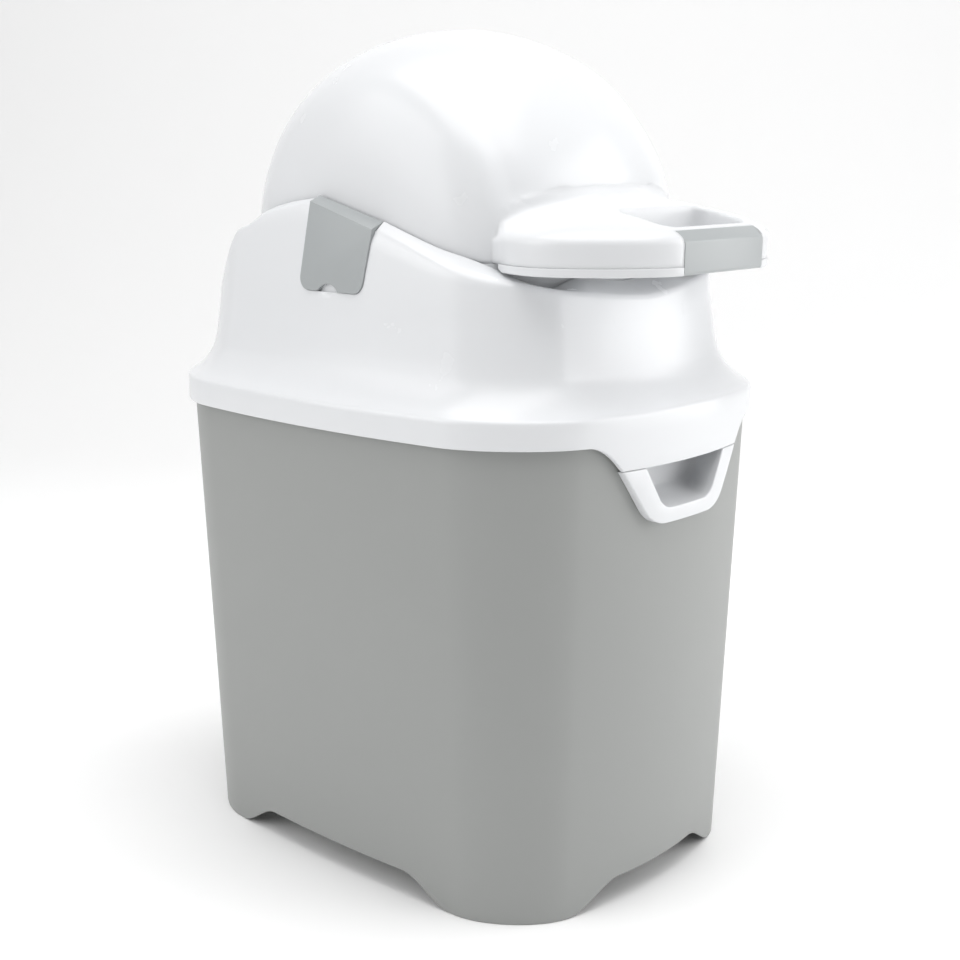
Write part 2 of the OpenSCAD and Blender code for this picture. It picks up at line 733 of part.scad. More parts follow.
// A loop round the tongue: f = 0 at the finger gap, 1 at the edge; d moves it in from either end
function tongue_loop(f, d, z0, drop, out = outer_reach) =
    [for (i = [0:tongue_n - 1])
        let (m = mix(inner_reach[i], out[i], f) + d,
            x = m * cos(turns[i]), y = m * sin(turns[i]) - gap_mid)
        [x, y, z0 > 0 ? z0 : deck_z(x, y) - drop]];

module tongue_solid() {
    ring_shell([
        tongue_loop(1, 0, split_z, 0),
        tongue_loop(1, 0, 0, 1.8),
        tongue_loop(1, -1.6, 0, 0.2),
        tongue_loop(0.85, 0, 0, 0),
        tongue_loop(0.65, 0, 0, 0),
        tongue_loop(0.4, 0, 0, 0),
        tongue_loop(0.15, 0, 0, 0),
        tongue_loop(0, 1.2, 0, 0),
        tongue_loop(0, 0, 0, 1.2),
        tongue_loop(0, 0, split_z, 0)]);
}

module tongue_hollow() {
    ring_shell([
        tongue_loop(0, skin, split_z - 1, 0),
        tongue_loop(0, skin, 0, skin + 1),
        tongue_loop(0.4, 0, 0, skin, hollow_reach),
        tongue_loop(0.65, 0, 0, skin, hollow_reach),
        tongue_loop(1, 0, 0, skin + 1, hollow_reach),
        tongue_loop(1, 0, split_z - 1, 0, hollow_reach)]);
}

// Everything below a slope that clears the ledge beside the handle's rear corners
ramp_y = -119;
ramp_z = handle_z - 1;
ramp_slope = 0.48;
ramp_end = -80;
module under_ramp(lift) {
    rotate([90, 0, 90]) linear_extrude(2 * tongue_w, center = true)
        polygon([[ramp_y, ramp_z + lift - 20], [ramp_y, ramp_z + lift],
            [ramp_end, ramp_z + lift + ramp_slope * (ramp_end - ramp_y)], [ramp_end, ramp_z + lift - 20]]);
}

module tongue_shell() {
    difference() {
        tongue_solid();
        difference() {
            tongue_hollow();
            under_ramp(skin);
            grip_space(seat_wall);
        }
        under_ramp(0);
    }
}

module grip_space(grow) {
    translate([-grip_w / 2 - grow, -tongue_front - 5, handle_z - 5])
        cube([grip_w + 2 * grow, grip_d + 5 + grow, 60]);
}

module drum_dome() color(white) {
    difference() {
        union() {
            shell_loft([for (k = [0:sweep_n]) dome_section(k / sweep_n)]);
            tongue_shell();
        }
        grip_space(0.15);
    }
}

module drum_barrel(grow) {
    translate([0, axis_y, axis_z]) rotate([0, 90, 0]) rotate_extrude($fn = 96)
        polygon(concat([[0, -drum_w / 2 - grow]],
            [for (p = whole_profile(grow)) [p[1], p[0]]], [[0, drum_w / 2 + grow]]));
}

module slab(z0, z1) translate([-200, -250, z0]) cube([400, 500, z1 - z0]);

flange_r = 74;
flange_t = 2.5;
screw_ring = 69;
screw_r = 1.5;
module at_screws() {
    for (a = [45:90:315]) translate([screw_ring * cos(a), axis_y + screw_ring * sin(a), 0]) children();
}

module drum_base() color(white) {
    difference() {
        intersection() {
            drum_barrel(0);
            slab(mouth_z, split_z - 0.2);
        }
        intersection() {
            drum_barrel(-drum_wall);
            slab(mouth_z + drum_wall, split_z + 1);
        }
        translate([0, axis_y, mouth_z - 1])
            cylinder(r = chamber_r + chamber_wall + fit_gap, h = 10, $fn = 96);
        at_screws() translate([0, 0, mouth_z - 1]) cylinder(r = screw_r + 0.1, h = 10, $fn = 24);
    }
}

mouth_r = chamber_r - 3;
module nappy_chamber() color(white) {
    difference() {
        union() {
            translate([0, axis_y, mouth_z])
                cylinder(r = chamber_r + chamber_wall, h = chamber_top - mouth_z, $fn = 96);
            translate([0, axis_y, mouth_z - flange_t]) cylinder(r = flange_r, h = flange_t, $fn = 96);
        }
        translate([0, axis_y, mouth_z])
            cylinder(r = chamber_r, h = chamber_top - mouth_z - chamber_wall, $fn = 96);
        translate([0, axis_y, mouth_z - flange_t - 1]) cylinder(r = mouth_r, h = 10, $fn = 96);
        at_screws() translate([0, 0, mouth_z - flange_t - 1]) cylinder(r = screw_r + 0.1, h = 10, $fn = 24);
    }
}

module chamber_screws() color(steel) {
    at_screws() {
        translate([0, 0, mouth_z - flange_t - 1.6]) cylinder(r = 2.9, h = 1.6, $fn = 32);
        translate([0, 0, mouth_z - flange_t]) cylinder(r = screw_r, h = flange_t + drum_wall + 4, $fn = 24);
    }
}

cover_back = -112;
module handle_cover() color(white) {
    root = fit_gap;
    outer = [for (a = turns) let (m = tongue_reach(a, root)) [m * cos(a), m * sin(a) - gap_mid]];
    inner = [for (i = [0:tongue_n - 1])
        [inner_reach[i] * cos(turns[i]), inner_reach[i] * sin(turns[i]) - gap_mid]];
    difference() {
        translate([0, 0, handle_z]) linear_extrude(cover_t - 0.1) difference() {
            polygon(outer);
            polygon(inner);
        }
        grip_space(0.15);
        under_ramp(0);
        translate([-tongue_w, cover_back, handle_z - 1]) cube([2 * tongue_w, 60, cover_t + 2]);
    }
}

module handle_grip() color(trim_grey) {
    front = -tongue_front;
    back = front + grip_d;
    round_r = 2;
    rise = deck_z(0, back);
    translate([-grip_w / 2, 0, 0]) rotate([90, 0, 90]) linear_extrude(grip_w)
        hull() {
            translate([front + round_r, handle_z + round_r]) circle(round_r, $fn = 24);
            translate([front + round_r, edge_z - round_r]) circle(round_r, $fn = 24);
            translate([back - 0.2, handle_z]) square([0.2, rise - handle_z]);
        }
}

// ---------------------------------------------------------------- piston

piston_r = chamber_r - 1;
piston_z = mouth_z + fit_gap;
piston_skin = 2.4;
seal_h = 5;
module piston() color(trim_grey) {
    difference() {
        translate([0, axis_y, piston_z]) cylinder(r = piston_r, h = piston_h, $fn = 96);
        translate([0, axis_y, piston_z + piston_skin])
            cylinder(r = piston_r - piston_skin - 2, h = piston_h, $fn = 96);
        translate([0, axis_y, piston_z + piston_h / 2 - seal_h / 2]) difference() {
            cylinder(r = piston_r + 1, h = seal_h, $fn = 96);
            translate([0, 0, -1]) cylinder(r = piston_r - 2, h = seal_h + 2, $fn = 96);
        }
    }
}

module piston_seal() color(seal_grey) {
    translate([0, axis_y, piston_z + piston_h / 2 - seal_h / 2 + 0.1]) difference() {
        cylinder(r = chamber_r - fit_gap, h = seal_h - 0.2, $fn = 96);
        translate([0, 0, -1]) cylinder(r = piston_r - 1.9, h = seal_h + 2, $fn = 96);
    }
}

weight_r = 42;
weight_h = 9;
module piston_weight() color(steel) {
    translate([0, axis_y, piston_z + piston_skin]) cylinder(r = weight_r, h = weight_h, $fn = 96);
}

// ---------------------------------------------------------------- all pieces

pail();
finger_pull();
bag_ring();
hinge_bracket_left();
hinge_bracket_right();
hinge_pin_left();
hinge_pin_right();
hinge_screws();
hood();
drum_seal();
lid_gasket();
pivot_bearing_left();
pivot_bearing_right();
hinge_arm_left();
hinge_arm_right();
pivot_cap_left();
pivot_cap_right();
drum_dome();
drum_base();
nappy_chamber();
handle_cover();
handle_grip();
pivot_pin_left();
pivot_pin_right();
chamber_screws();
piston();
piston_weight();
piston_seal();
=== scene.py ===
"""Nappy bin with a flip-over drum: the visible pieces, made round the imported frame."""

import math
from types import SimpleNamespace

import bmesh
import bpy
import numpy as np
from bpy.props import FloatProperty, FloatVectorProperty, PointerProperty
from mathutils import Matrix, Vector


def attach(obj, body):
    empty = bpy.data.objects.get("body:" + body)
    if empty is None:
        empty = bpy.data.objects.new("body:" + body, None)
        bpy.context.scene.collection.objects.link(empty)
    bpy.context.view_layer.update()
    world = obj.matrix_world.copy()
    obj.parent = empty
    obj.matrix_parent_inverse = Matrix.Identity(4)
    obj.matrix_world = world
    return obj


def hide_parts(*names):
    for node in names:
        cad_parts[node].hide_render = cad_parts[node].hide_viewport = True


bl_info = {
    "name": "Nappy Bin",
    "version": (1, 0, 0),
    "blender": (4, 5, 0),
    "location": "3D View > Sidebar > Nappy Bin",
    "description": "Builds a nappy bin with a flip-over drum, a hinged lid and a bucket",
    "category": "Add Mesh",
}

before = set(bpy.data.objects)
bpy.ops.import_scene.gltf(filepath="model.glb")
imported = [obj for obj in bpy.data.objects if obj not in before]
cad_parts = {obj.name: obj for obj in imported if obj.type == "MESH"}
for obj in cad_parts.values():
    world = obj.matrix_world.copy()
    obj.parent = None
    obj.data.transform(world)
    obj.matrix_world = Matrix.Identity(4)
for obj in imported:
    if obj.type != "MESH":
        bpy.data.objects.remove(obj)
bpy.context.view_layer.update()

MM = 0.001


def length(name, size_mm, description):
    """A size that the user can change, stored in metres."""
    return FloatProperty(name=name, description=description, default=size_mm * MM,
                         min=0.0, unit="LENGTH", subtype="DISTANCE", precision=4)


def colour(name, rgb, description):
    """A finish colour that the user can change, in linear values."""
    return FloatVectorProperty(name=name, description=description, default=rgb,
                               size=3, min=0.0, max=1.0, subtype="COLOR")


# ------------------------------------------------------------------ properties

class NappyBinSizes(bpy.types.PropertyGroup):
    """Sizes of the visible mouldings."""
    base_width: length("Base width", 253.0, "Width of the bucket at its feet")
    base_depth: length("Base depth", 342.4, "Depth of the bucket at its feet")
    rim_width: length("Rim width", 283.0, "Width of the bucket at its rim")
    rim_depth: length("Rim depth", 366.6, "Depth of the bucket at its rim")
    rim_height: length("Rim height", 306.0, "Height of the bucket's rim")
    pail_wall: length("Bucket wall", 2.4, "Thickness of the bucket's wall")
    floor_height: length("Floor height", 24.0, "Height of the bucket floor's upper face")
    arch_height: length("Arch height", 17.6, "Height of the arches between the feet")
    skirt_height: length("Skirt height", 299.5, "Height of the lid skirt's lower edge")
    flange_height: length("Flange height", 315.3, "Height of the lid flange's upper edge")
    skirt_reach: length("Skirt reach", 3.8, "How far the skirt stands out from the rim")
    lid_wall: length("Lid wall", 3.0, "Thickness of the lid's shell")
    apron_drop: length("Apron drop", 16.2, "How far the front apron hangs below the skirt")
    apron_width: length("Apron width", 117.0, "Width of the apron at its lower edge")
    pivot_room: length("Pivot room", 12.0, "Room for a pivot between the drum's end and the collar's face")
    collar_depth: length("Collar depth", 304.0, "Depth of the collar")
    ledge_top: length("Ledge top", 431.0, "Height of the ledge beside the pivots")
    ledge_front: length("Ledge front", 379.0, "Height of the ledge at the front")
    ledge_back: length("Ledge back", 370.0, "Height of the ledge at the back")
    drum_radius: length("Drum radius", 132.0, "Radius of the drum at its middle")
    drum_width: length("Drum width", 214.0, "Width of the drum")
    drum_height: length("Drum axis height", 408.0, "Height of the drum's axis")
    drum_setback: length("Drum axis setback", 3.0, "How far the drum's axis lies in front of the middle")
    crease: length("Crease depth", 3.0, "Depth of the soft crease on each side of the dome")
    drum_gap: length("Drum gap", 1.2, "Running gap between the drum and the lid")
    tongue_width: length("Handle width", 199.0, "Width of the handle tongue")
    tongue_reach: length("Handle reach", 206.3, "Reach of the handle in front of the middle")
    tongue_corner: length("Handle corner", 62.0, "Radius of the handle's front corners")
    handle_height: length("Handle height", 396.0, "Height of the handle's lower face")
    cover_thickness: length("Handle cover", 5.0, "Thickness of the cover under the handle")
    edge_height: length("Handle edge", 416.0, "Height of the handle's upper edge")
    gap_width: length("Finger gap width", 84.0, "Width of the finger gap")
    gap_depth: length("Finger gap depth", 36.0, "Front to back size of the finger gap")
    bar_depth: length("Bar depth", 12.3, "Front to back size of the bar in front of the gap")
    grip_width: length("Grip width", 80.0, "Width of the grey grip")
    grip_depth: length("Grip depth", 7.0, "Front to back size of the grey grip")
    pocket_width: length("Finger pocket width", 100.0, "Width of the finger pocket at its top")
    pocket_height: length("Finger pocket floor", 256.0, "Height of the pocket's floor at its front")
    pocket_depth: length("Finger pocket depth", 22.0, "Depth of the finger pocket")
    frame_height: length("Finger pull frame", 247.0, "Height of the finger pull's lower edge")
    cap_width: length("Cap width", 56.0, "Width of the pivot caps")
    cap_rake: length("Cap rake", 5.5, "How far the pivot caps lean forward at the top")


class NappyBinFinish(bpy.types.PropertyGroup):
    """Colours and surface of the mouldings."""
    white: colour("White", (0.74, 0.75, 0.765), "Colour of the white mouldings")
    pail_grey: colour("Bucket grey", (0.315, 0.323, 0.315), "Colour of the bucket")
    trim_grey: colour("Trim grey", (0.385, 0.405, 0.41), "Colour of the pivot caps and the grip")
    seal: colour("Seal", (0.07, 0.072, 0.075), "Colour of the rubber seals")
    steel: colour("Steel", (0.62, 0.63, 0.64), "Colour of pins, screws and the weight")
    backdrop: colour("Backdrop", (0.96, 0.96, 0.96), "Colour of the floor")
    white_roughness: FloatProperty(name="White roughness", default=0.26, min=0.0, max=1.0,
                                   description="Roughness of the white mouldings")
    pail_roughness: FloatProperty(name="Bucket roughness", default=0.46, min=0.0, max=1.0,
                                  description="Roughness of the bucket")


def mm(metres):
    """A stored length in millimetres."""
    return metres / MM


# ------------------------------------------------------------------ outlines

SIDE_STEPS, CORNER_STEPS, END_STEPS = 8, 8, 12
QUARTER_STEPS = SIDE_STEPS + CORNER_STEPS + END_STEPS
COLUMNS_PER_STEP = 4
RING = 4 * QUARTER_STEPS * COLUMNS_PER_STEP
_along = np.arange(RING) / COLUMNS_PER_STEP
QUADRANT = (_along // QUARTER_STEPS).astype(int)
STEP = np.where(QUADRANT % 2 == 0, _along % QUARTER_STEPS, QUARTER_STEPS - _along % QUARTER_STEPS)
FRONT = QUADRANT >= 2


def mix(first, second, share):
    """Outline or value a share of the way from the first to the second."""
    if isinstance(first, (list, tuple)):
        return [a + (b - a) * share for a, b in zip(first, second)]
    return first + (second - first) * share


def smooth(t):
    """A soft step from 0 to 1."""
    c = np.clip(t, 0.0, 1.0)
    return c * c * (3 - 2 * c)


def inset(line, distance):
    """The outline moved in by a distance."""
    return [line[0] - distance, line[1] - distance, np.maximum(line[2] - distance, 2), line[3], line[4]]


def outline(line):
    """Points of a rounded rectangle with bowed sides: half width, half depth, corner, side bow, end bow."""
    a, b, r = line[0] - line[3], line[1] - line[4], line[2]
    turn = np.radians(90 * (STEP - SIDE_STEPS) / CORNER_STEPS)
    on_side, on_corner = STEP <= SIDE_STEPS, STEP <= SIDE_STEPS + CORNER_STEPS
    x = np.where(on_side, a, np.where(on_corner, a - r + r * np.cos(turn),
                                      (a - r) * (QUARTER_STEPS - STEP) / END_STEPS))
    y = np.where(on_side, (b - r) * STEP / SIDE_STEPS,
                 np.where(on_corner, b - r + r * np.sin(turn), b))
    bowed_x = x + line[3] * (1 - (y / b) ** 2) * x / a
    bowed_y = y + line[4] * (1 - (x / a) ** 2) * y / b
    left = (QUADRANT == 1) | (QUADRANT == 2)
    return np.stack([np.where(left, -bowed_x, bowed_x), np.where(FRONT, -bowed_y, bowed_y)], axis=1)


def travel(line):
    """Distance round the collar from the middle of its side."""
    a, b, r = line[0] - line[3], line[1] - line[4], line[2]
    arc = r * math.pi / 2
    return np.where(STEP <= SIDE_STEPS, (b - r) * STEP / SIDE_STEPS,
                    np.where(STEP <= SIDE_STEPS + CORNER_STEPS,
                             b - r + arc * (STEP - SIDE_STEPS) / CORNER_STEPS,
                             b - r + arc + (a - r) * (STEP - SIDE_STEPS - CORNER_STEPS) / END_STEPS))


def ring(line, z, shift=0.0):
    """A ring of points at height z, which may vary along the ring."""
    flat = outline(line)
    return np.column_stack([flat[:, 0], flat[:, 1] + shift, np.broadcast_to(z, len(flat))])


# ------------------------------------------------------------------ rows and lofts

def unit(v):
    """Vectors of length 1 along the given ones."""
    return v / np.maximum(np.linalg.norm(v, axis=-1, keepdims=True), 1e-9)


def softened(rows, closed=True, steps=5):
    """Rows with the corners that state a radius turned into a few rows round an arc."""
    count = len(rows)
    out = []
    for k, (points, radius) in enumerate(rows):
        if np.max(radius) <= 0 or (not closed and k in (0, count - 1)):
            out.append(points)
            continue
        before, after = rows[k - 1][0] - points, rows[(k + 1) % count][0] - points
        near = [np.minimum(radius, 0.46 * np.linalg.norm(v, axis=1, keepdims=True)) * unit(v)
                for v in (before, after)]
        a, b = points + near[0], points + near[1]
        for t in np.linspace(0, 1, steps if np.max(radius) < 5 else 2 * steps):
            out.append(a * (1 - t) ** 2 + 2 * points * t * (1 - t) + b * t ** 2)
    return out


def between(first, last, count):
    """Rows evenly spaced between two rows, without the two themselves."""
    return [(mix(first, last, t), 0) for t in np.linspace(0, 1, count + 2)[1:-1]]


def grid_faces(columns, rows, closed_rows, closed_columns=True):
    """Quads between the rows of a grid."""
    faces = []
    row_pairs = rows if closed_rows else rows - 1
    column_pairs = columns if closed_columns else columns - 1
    for j in range(row_pairs):
        top = (j + 1) % rows
        for i in range(column_pairs):
            right = (i + 1) % columns
            faces.append((j * columns + i, j * columns + right, top * columns + right, top * columns + i))
    return faces


def new_piece(name, points_mm, faces):
    """A mesh object with its faces turned outwards, from points in millimetres."""
    mesh = bpy.data.meshes.new(name)
    mesh.from_pydata((np.asarray(points_mm, float) * MM).tolist(), [], [list(map(int, f)) for f in faces])
    mesh.validate()
    tidy = bmesh.new()
    tidy.from_mesh(mesh)
    bmesh.ops.remove_doubles(tidy, verts=tidy.verts, dist=1e-7)
    bmesh.ops.recalc_face_normals(tidy, faces=tidy.faces)
    tidy.to_mesh(mesh)
    tidy.free()
    piece = bpy.data.objects.new(name, mesh)
    bpy.context.scene.collection.objects.link(piece)
    return piece


def loft(name, rows, closed=True):
    """A shell through closed rings: closed on itself, or with a flat face at each end."""
    columns = len(rows[0])
    faces = grid_faces(columns, len(rows), closed)
    if not closed:
        last = (len(rows) - 1) * columns
        faces += [tuple(range(columns)), tuple(range(last + columns - 1, last - 1, -1))]
    return new_piece(name, np.concatenate(rows), faces)


def smooth_shading(piece, angle=32.0):
    """Smooth faces, with an edge wherever the surface turns by more than the angle."""
    piece.data.polygons.foreach_set("use_smooth", [True] * len(piece.data.polygons))
    piece.data.set_sharp_from_angle(angle=math.radians(angle))
    piece.data.update()


def cut(piece, cutter, operation="DIFFERENCE"):
    """Cuts or joins one mesh with another and drops the cutter."""
    step = piece.modifiers.new("cut", "BOOLEAN")
    step.operation, step.solver, step.object = operation, "EXACT", cutter
    graph = bpy.context.evaluated_depsgraph_get()
    result = bpy.data.meshes.new_from_object(piece.evaluated_get(graph))
    piece.modifiers.clear()
    old, piece.data = piece.data, result
    result.name = piece.name
    bpy.data.meshes.remove(old)
    spent = cutter.data
    bpy.data.objects.remove(cutter)
    bpy.data.meshes.remove(spent)
    return piece


def finish_piece(piece, body, slot, material, *nodes, angle=32.0):
    """Shades a piece, gives it its material, ties it to its body and hides the CAD nodes it stands in for."""
    smooth_shading(piece, angle)
    piece.data.materials.clear()
    piece.data.materials.append(material)
    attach(piece, body)
    if nodes:
        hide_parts(*nodes)
    return piece


# ------------------------------------------------------------------ materials

GLOSS_SPREAD = 0.035
GRAIN_DEPTH = 0.1
EDGE_BLEND = 4.5


def node_link(tree, source, output, target, socket):
    """Joins one node's output to another node's input."""
    tree.links.new(source.outputs[output], target.inputs[socket])


def moulded_plastic(name, rgb, roughness, grain=0.02, grain_scale=700.0, tint=0.03):
    """Moulded plastic: a slow change of tone, an uneven gloss and a fine moulded grain."""
    made = bpy.data.materials.get(name)
    if made:
        return made
    material = bpy.data.materials.new(name)
    material.use_nodes = True
    tree = material.node_tree
    shader = tree.nodes["Principled BSDF"]
    place = tree.nodes.new("ShaderNodeTexCoord")

    drift = tree.nodes.new("ShaderNodeTexNoise")
    drift.inputs["Scale"].default_value = 7.0
    drift.inputs["Detail"].default_value = 3.0
    node_link(tree, place, "Object", drift, "Vector")
    tone = tree.nodes.new("ShaderNodeMix")
    tone.data_type = "RGBA"
    tone.inputs["A"].default_value = (*[c * (1 - tint) for c in rgb], 1.0)
    tone.inputs["B"].default_value = (*[min(1.0, c * (1 + tint)) for c in rgb], 1.0)
    node_link(tree, drift, "Fac", tone, "Factor")
    node_link(tree, tone, "Result", shader, "Base Color")

    smear = tree.nodes.new("ShaderNodeTexNoise")
    smear.inputs["Scale"].default_value = 38.0
    smear.inputs["Detail"].default_value = 4.0
    node_link(tree, place, "Object", smear, "Vector")
    gloss = tree.nodes.new("ShaderNodeMapRange")
    gloss.inputs["To Min"].default_value = roughness - GLOSS_SPREAD
    gloss.inputs["To Max"].default_value = roughness + GLOSS_SPREAD
    node_link(tree, smear, "Fac", gloss, "Value")
    node_link(tree, gloss, "Result", shader, "Roughness")

    fine = tree.nodes.new("ShaderNodeTexNoise")
    fine.inputs["Scale"].default_value = grain_scale
    fine.inputs["Detail"].default_value = 2.0
    node_link(tree, place, "Object", fine, "Vector")
    bump = tree.nodes.new("ShaderNodeBump")
    bump.inputs["Strength"].default_value = grain
    bump.inputs["Distance"].default_value = GRAIN_DEPTH * MM
    node_link(tree, fine, "Fac", bump, "Height")
    node_link(tree, bump, "Normal", shader, "Normal")
    return material


def finishes():
    """The colours and roughness that the user can change."""
    return bpy.context.scene.nappy_bin_finish


def white_moulding(name):
    """Gloss white plastic with a shallow unevenness."""
    look = finishes()
    return moulded_plastic(name, look.white, look.white_roughness, grain=0.1, grain_scale=60.0, tint=0.012)


def white_plastic():
    """The white of the lid and the small white parts."""
    return white_moulding("gloss white plastic")


def blended_plastic():
    """The white plastic with its inner and outer edges blended over a few millimetres."""
    material = white_moulding("blended white plastic")
    tree = material.node_tree
    if "Bevel" not in tree.nodes:
        blend = tree.nodes.new("ShaderNodeBevel")
        blend.samples = 6
        blend.inputs["Radius"].default_value = EDGE_BLEND * MM
        node_link(tree, blend, "Normal", tree.nodes["Bump"], "Normal")
    return material


def pail_plastic():
    """The bucket's satin grey."""
    look = finishes()
    return moulded_plastic("satin grey plastic", look.pail_grey, look.pail_roughness,
                           grain=0.3, grain_scale=900.0, tint=0.02)


def trim_plastic():
    """The light grey of the pivot caps and the grip."""
    return moulded_plastic("light grey plastic", finishes().trim_grey, 0.34, grain=0.04, tint=0.02)


def seal_rubber():
    """The dark rubber of the seals."""
    return moulded_plastic("seal rubber", finishes().seal, 0.6, grain=0.5, grain_scale=900.0, tint=0.08)


def plain_steel():
    """Steel with a fine even grain."""
    material = moulded_plastic("drawn steel", finishes().steel, 0.3, grain=0.1, grain_scale=900.0, tint=0.04)
    material.node_tree.nodes["Principled BSDF"].inputs["Metallic"].default_value = 1.0
    return material


# ------------------------------------------------------------------ shared shapes

# Where the collar's outline is taken: its shift to the back and its height
COLLAR_SHIFT = 1.0
COLLAR_HEIGHT = 405.0
# The curve from the flange up into the collar: share of the way out, height over the flange
FILLET = ((1.0, -2.0), (0.985, 0.0), (0.95, 1.4), (0.87, 3.0), (0.76, 5.2), (0.64, 8.2), (0.52, 12.0),
          (0.42, 16.2), (0.34, 20.8), (0.285, 26.4), (0.245, 32.3), (0.2, 40.8), (0.155, 50.3))
# How fast the collar spreads downwards, and where it begins over the flange
LEAN = 0.00395
LOW_COLLAR = 51.5
# How far behind the pivots the ledge is highest
PEAK = 24.0
# Exponents of the drum's barrel shape, across and round
BARREL, FULLNESS = 1.73, 5.5
# Width over which the apron runs up to the skirt
APRON_RUN = 25.0
# The four feet: half widths of the arches at the sides and ends, and how long a foot's slope is
SIDE_ARCH, END_ARCH, FOOT_SLOPE = 62.0, 38.0, 40.0
# The raised lip of the ledge under the handle: where it starts, its run and its rise
LIP_FROM, LIP_RUN, LIP_RISE = 148.0, 36.0, 12.0
FLOOR_THICKNESS = 2.6


def shape():
    """All lengths in millimetres, with the outlines that several pieces share."""
    sizes = bpy.context.scene.nappy_bin_sizes
    s = SimpleNamespace(**{k: mm(getattr(sizes, k)) for k in NappyBinSizes.__annotations__})
    s.base_line = [s.base_width / 2, s.base_depth / 2, 38.9, 10, 26]
    s.rim_line = [s.rim_width / 2, s.rim_depth / 2, 45, 14.8, 31.6]
    reach = s.skirt_reach
    s.flange_line = [s.rim_width / 2 + reach, s.rim_depth / 2 + reach, 48.3, 14.8, 31.6]
    s.collar_width = s.drum_width + 2 * s.pivot_room
    s.collar_line = [s.collar_width / 2, s.collar_depth / 2, 42, 5, 22]
    s.axis_y, s.axis_z = -s.drum_setback, s.drum_height
    s.split = s.handle_height + s.cover_thickness
    return s


def pail_line(s, z):
    """The bucket's outline at a height."""
    return mix(s.base_line, s.rim_line, np.asarray(z, float) / s.rim_height)


def foot_height(s):
    """Lower edge of the bucket's wall: arches between four corner feet."""
    flat = np.abs(outline(s.base_line))
    along_side = smooth((SIDE_ARCH + FOOT_SLOPE - flat[:, 1]) / FOOT_SLOPE)
    along_end = smooth((END_ARCH + FOOT_SLOPE - flat[:, 0]) / FOOT_SLOPE)
    return s.arch_height * np.where(STEP <= SIDE_STEPS + CORNER_STEPS / 2, along_side, along_end)


def drum_profile_radius(s, x, grow=0.0):
    """The drum's radius at a distance from its middle."""
    share = np.clip(np.abs(x) / (s.drum_width / 2 + grow), 0, 1)
    return (s.drum_radius + grow) * np.maximum(0, 1 - share ** BARREL) ** (1 / FULLNESS)


def ledge_height(s):
    """Outer edge of the collar's ledge: highest behind the pivots, with a notch at the back."""
    along = travel(s.collar_line)
    half = along.max()
    t = PEAK + np.where(FRONT, along, -along)
    share = np.clip(1 - t / (half + PEAK), 0, 1)
    front = s.ledge_front + (s.ledge_top - s.ledge_front) * share ** (1 + 0.5 * smooth(t / 140))
    behind = mix(s.ledge_top + 0.075 * t - 0.0015 * t ** 2, s.ledge_back, smooth((along - 90) / 42))
    return np.where(t > 0, front, behind)


def mouth_height(s):
    """Inner edge of the ledge beside the drum: a dip between high sides and a raised lip at the front."""
    along, ledge = travel(s.collar_line), ledge_height(s)
    rise = mix(5, 8.7, smooth(along / 30))
    lip = LIP_RISE * smooth((along - LIP_FROM) / LIP_RUN)
    front = ledge + mix(rise, -3.5, smooth((along - 100) / 65)) + lip
    back = mix(ledge + 5, s.ledge_back + 1, smooth((along - 70) / 32))
    return np.where(FRONT, front, back)


def mouth_ring(s, grow, drop):
    """Ring on the lid that follows the drum at a distance, found by halving."""
    z = mouth_height(s) - drop
    line = outline(s.collar_line)
    x, y = line[:, 0], line[:, 1] + COLLAR_SHIFT - s.axis_y
    low, high = np.zeros(RING), np.full(RING, 1.2)
    for _ in range(26):
        middle = (low + high) / 2
        radius = drum_profile_radius(s, x * middle, grow)
        inside = (radius > 0) & ((y * middle) ** 2 + (z - s.axis_z) ** 2 < radius ** 2)
        low, high = np.where(inside, middle, low), np.where(inside, high, middle)
    return np.column_stack([x * low, y * low + s.axis_y, z])


def lid_line(s, t):
    """The lid's outline, from the collar at 0 to the flange at 1."""
    return mix(s.collar_line, s.flange_line, t)


def lid_ring(s, t, z, depth=0.0):
    """A level ring on the lid, moved in by a depth."""
    return ring(inset(lid_line(s, t), depth), z, COLLAR_SHIFT * (1 - t))


def collar_ring(s, u, depth, drop):
    """A ring on the collar, from its foot at 0 to a drop below the ledge at 1."""
    low = s.flange_height + LOW_COLLAR
    z = low + u * (ledge_height(s) - drop - low)
    t = (COLLAR_HEIGHT - z) * LEAN
    flat = outline(inset(lid_line(s, t), depth))
    return np.column_stack([flat[:, 0], flat[:, 1] + COLLAR_SHIFT * (1 - t), z])


def curve_through(knots, count):
    """Points along a smooth curve through the knots."""
    knots = np.array(knots, float)
    padded = np.vstack([2 * knots[0] - knots[1], knots, 2 * knots[-1] - knots[-2]])
    out = []
    for k in range(1, len(padded) - 2):
        p0, p1, p2, p3 = padded[k - 1:k + 3]
        for t in np.arange(count) / count:
            out.append(0.5 * (2 * p1 + (p2 - p0) * t + (2 * p0 - 5 * p1 + 4 * p2 - p3) * t ** 2
                              + (3 * p1 - p0 - 3 * p2 + p3) * t ** 3))
    out.append(knots[-1])
    return np.array(out)


def skirt_height(s):
    """Lower edge of the lid's skirt, with the apron that hangs down at the front."""
    x = np.abs(outline(s.flange_line)[:, 0])
    share = np.clip((s.apron_width / 2 + APRON_RUN - x) / APRON_RUN, 0, 1)
    return s.skirt_height - np.where(FRONT, s.apron_drop * share ** 2, 0)


def skirt_ring(s, depth):
    """A ring along the skirt's lower edge, moved in by a depth."""
    flat = outline(inset(s.flange_line, depth))
    return np.column_stack([flat, skirt_height(s)])


# ------------------------------------------------------------------ bucket

# The finger pocket: width of its foot, its corners and the wall round it
POCKET_FOOT, POCKET_CORNER, TUB_WALL = 60.0, 14.0, 2.4
# The frame of the finger pull: width of its foot and its corners
FRAME_FOOT, FRAME_CORNER = 90.0, 24.0
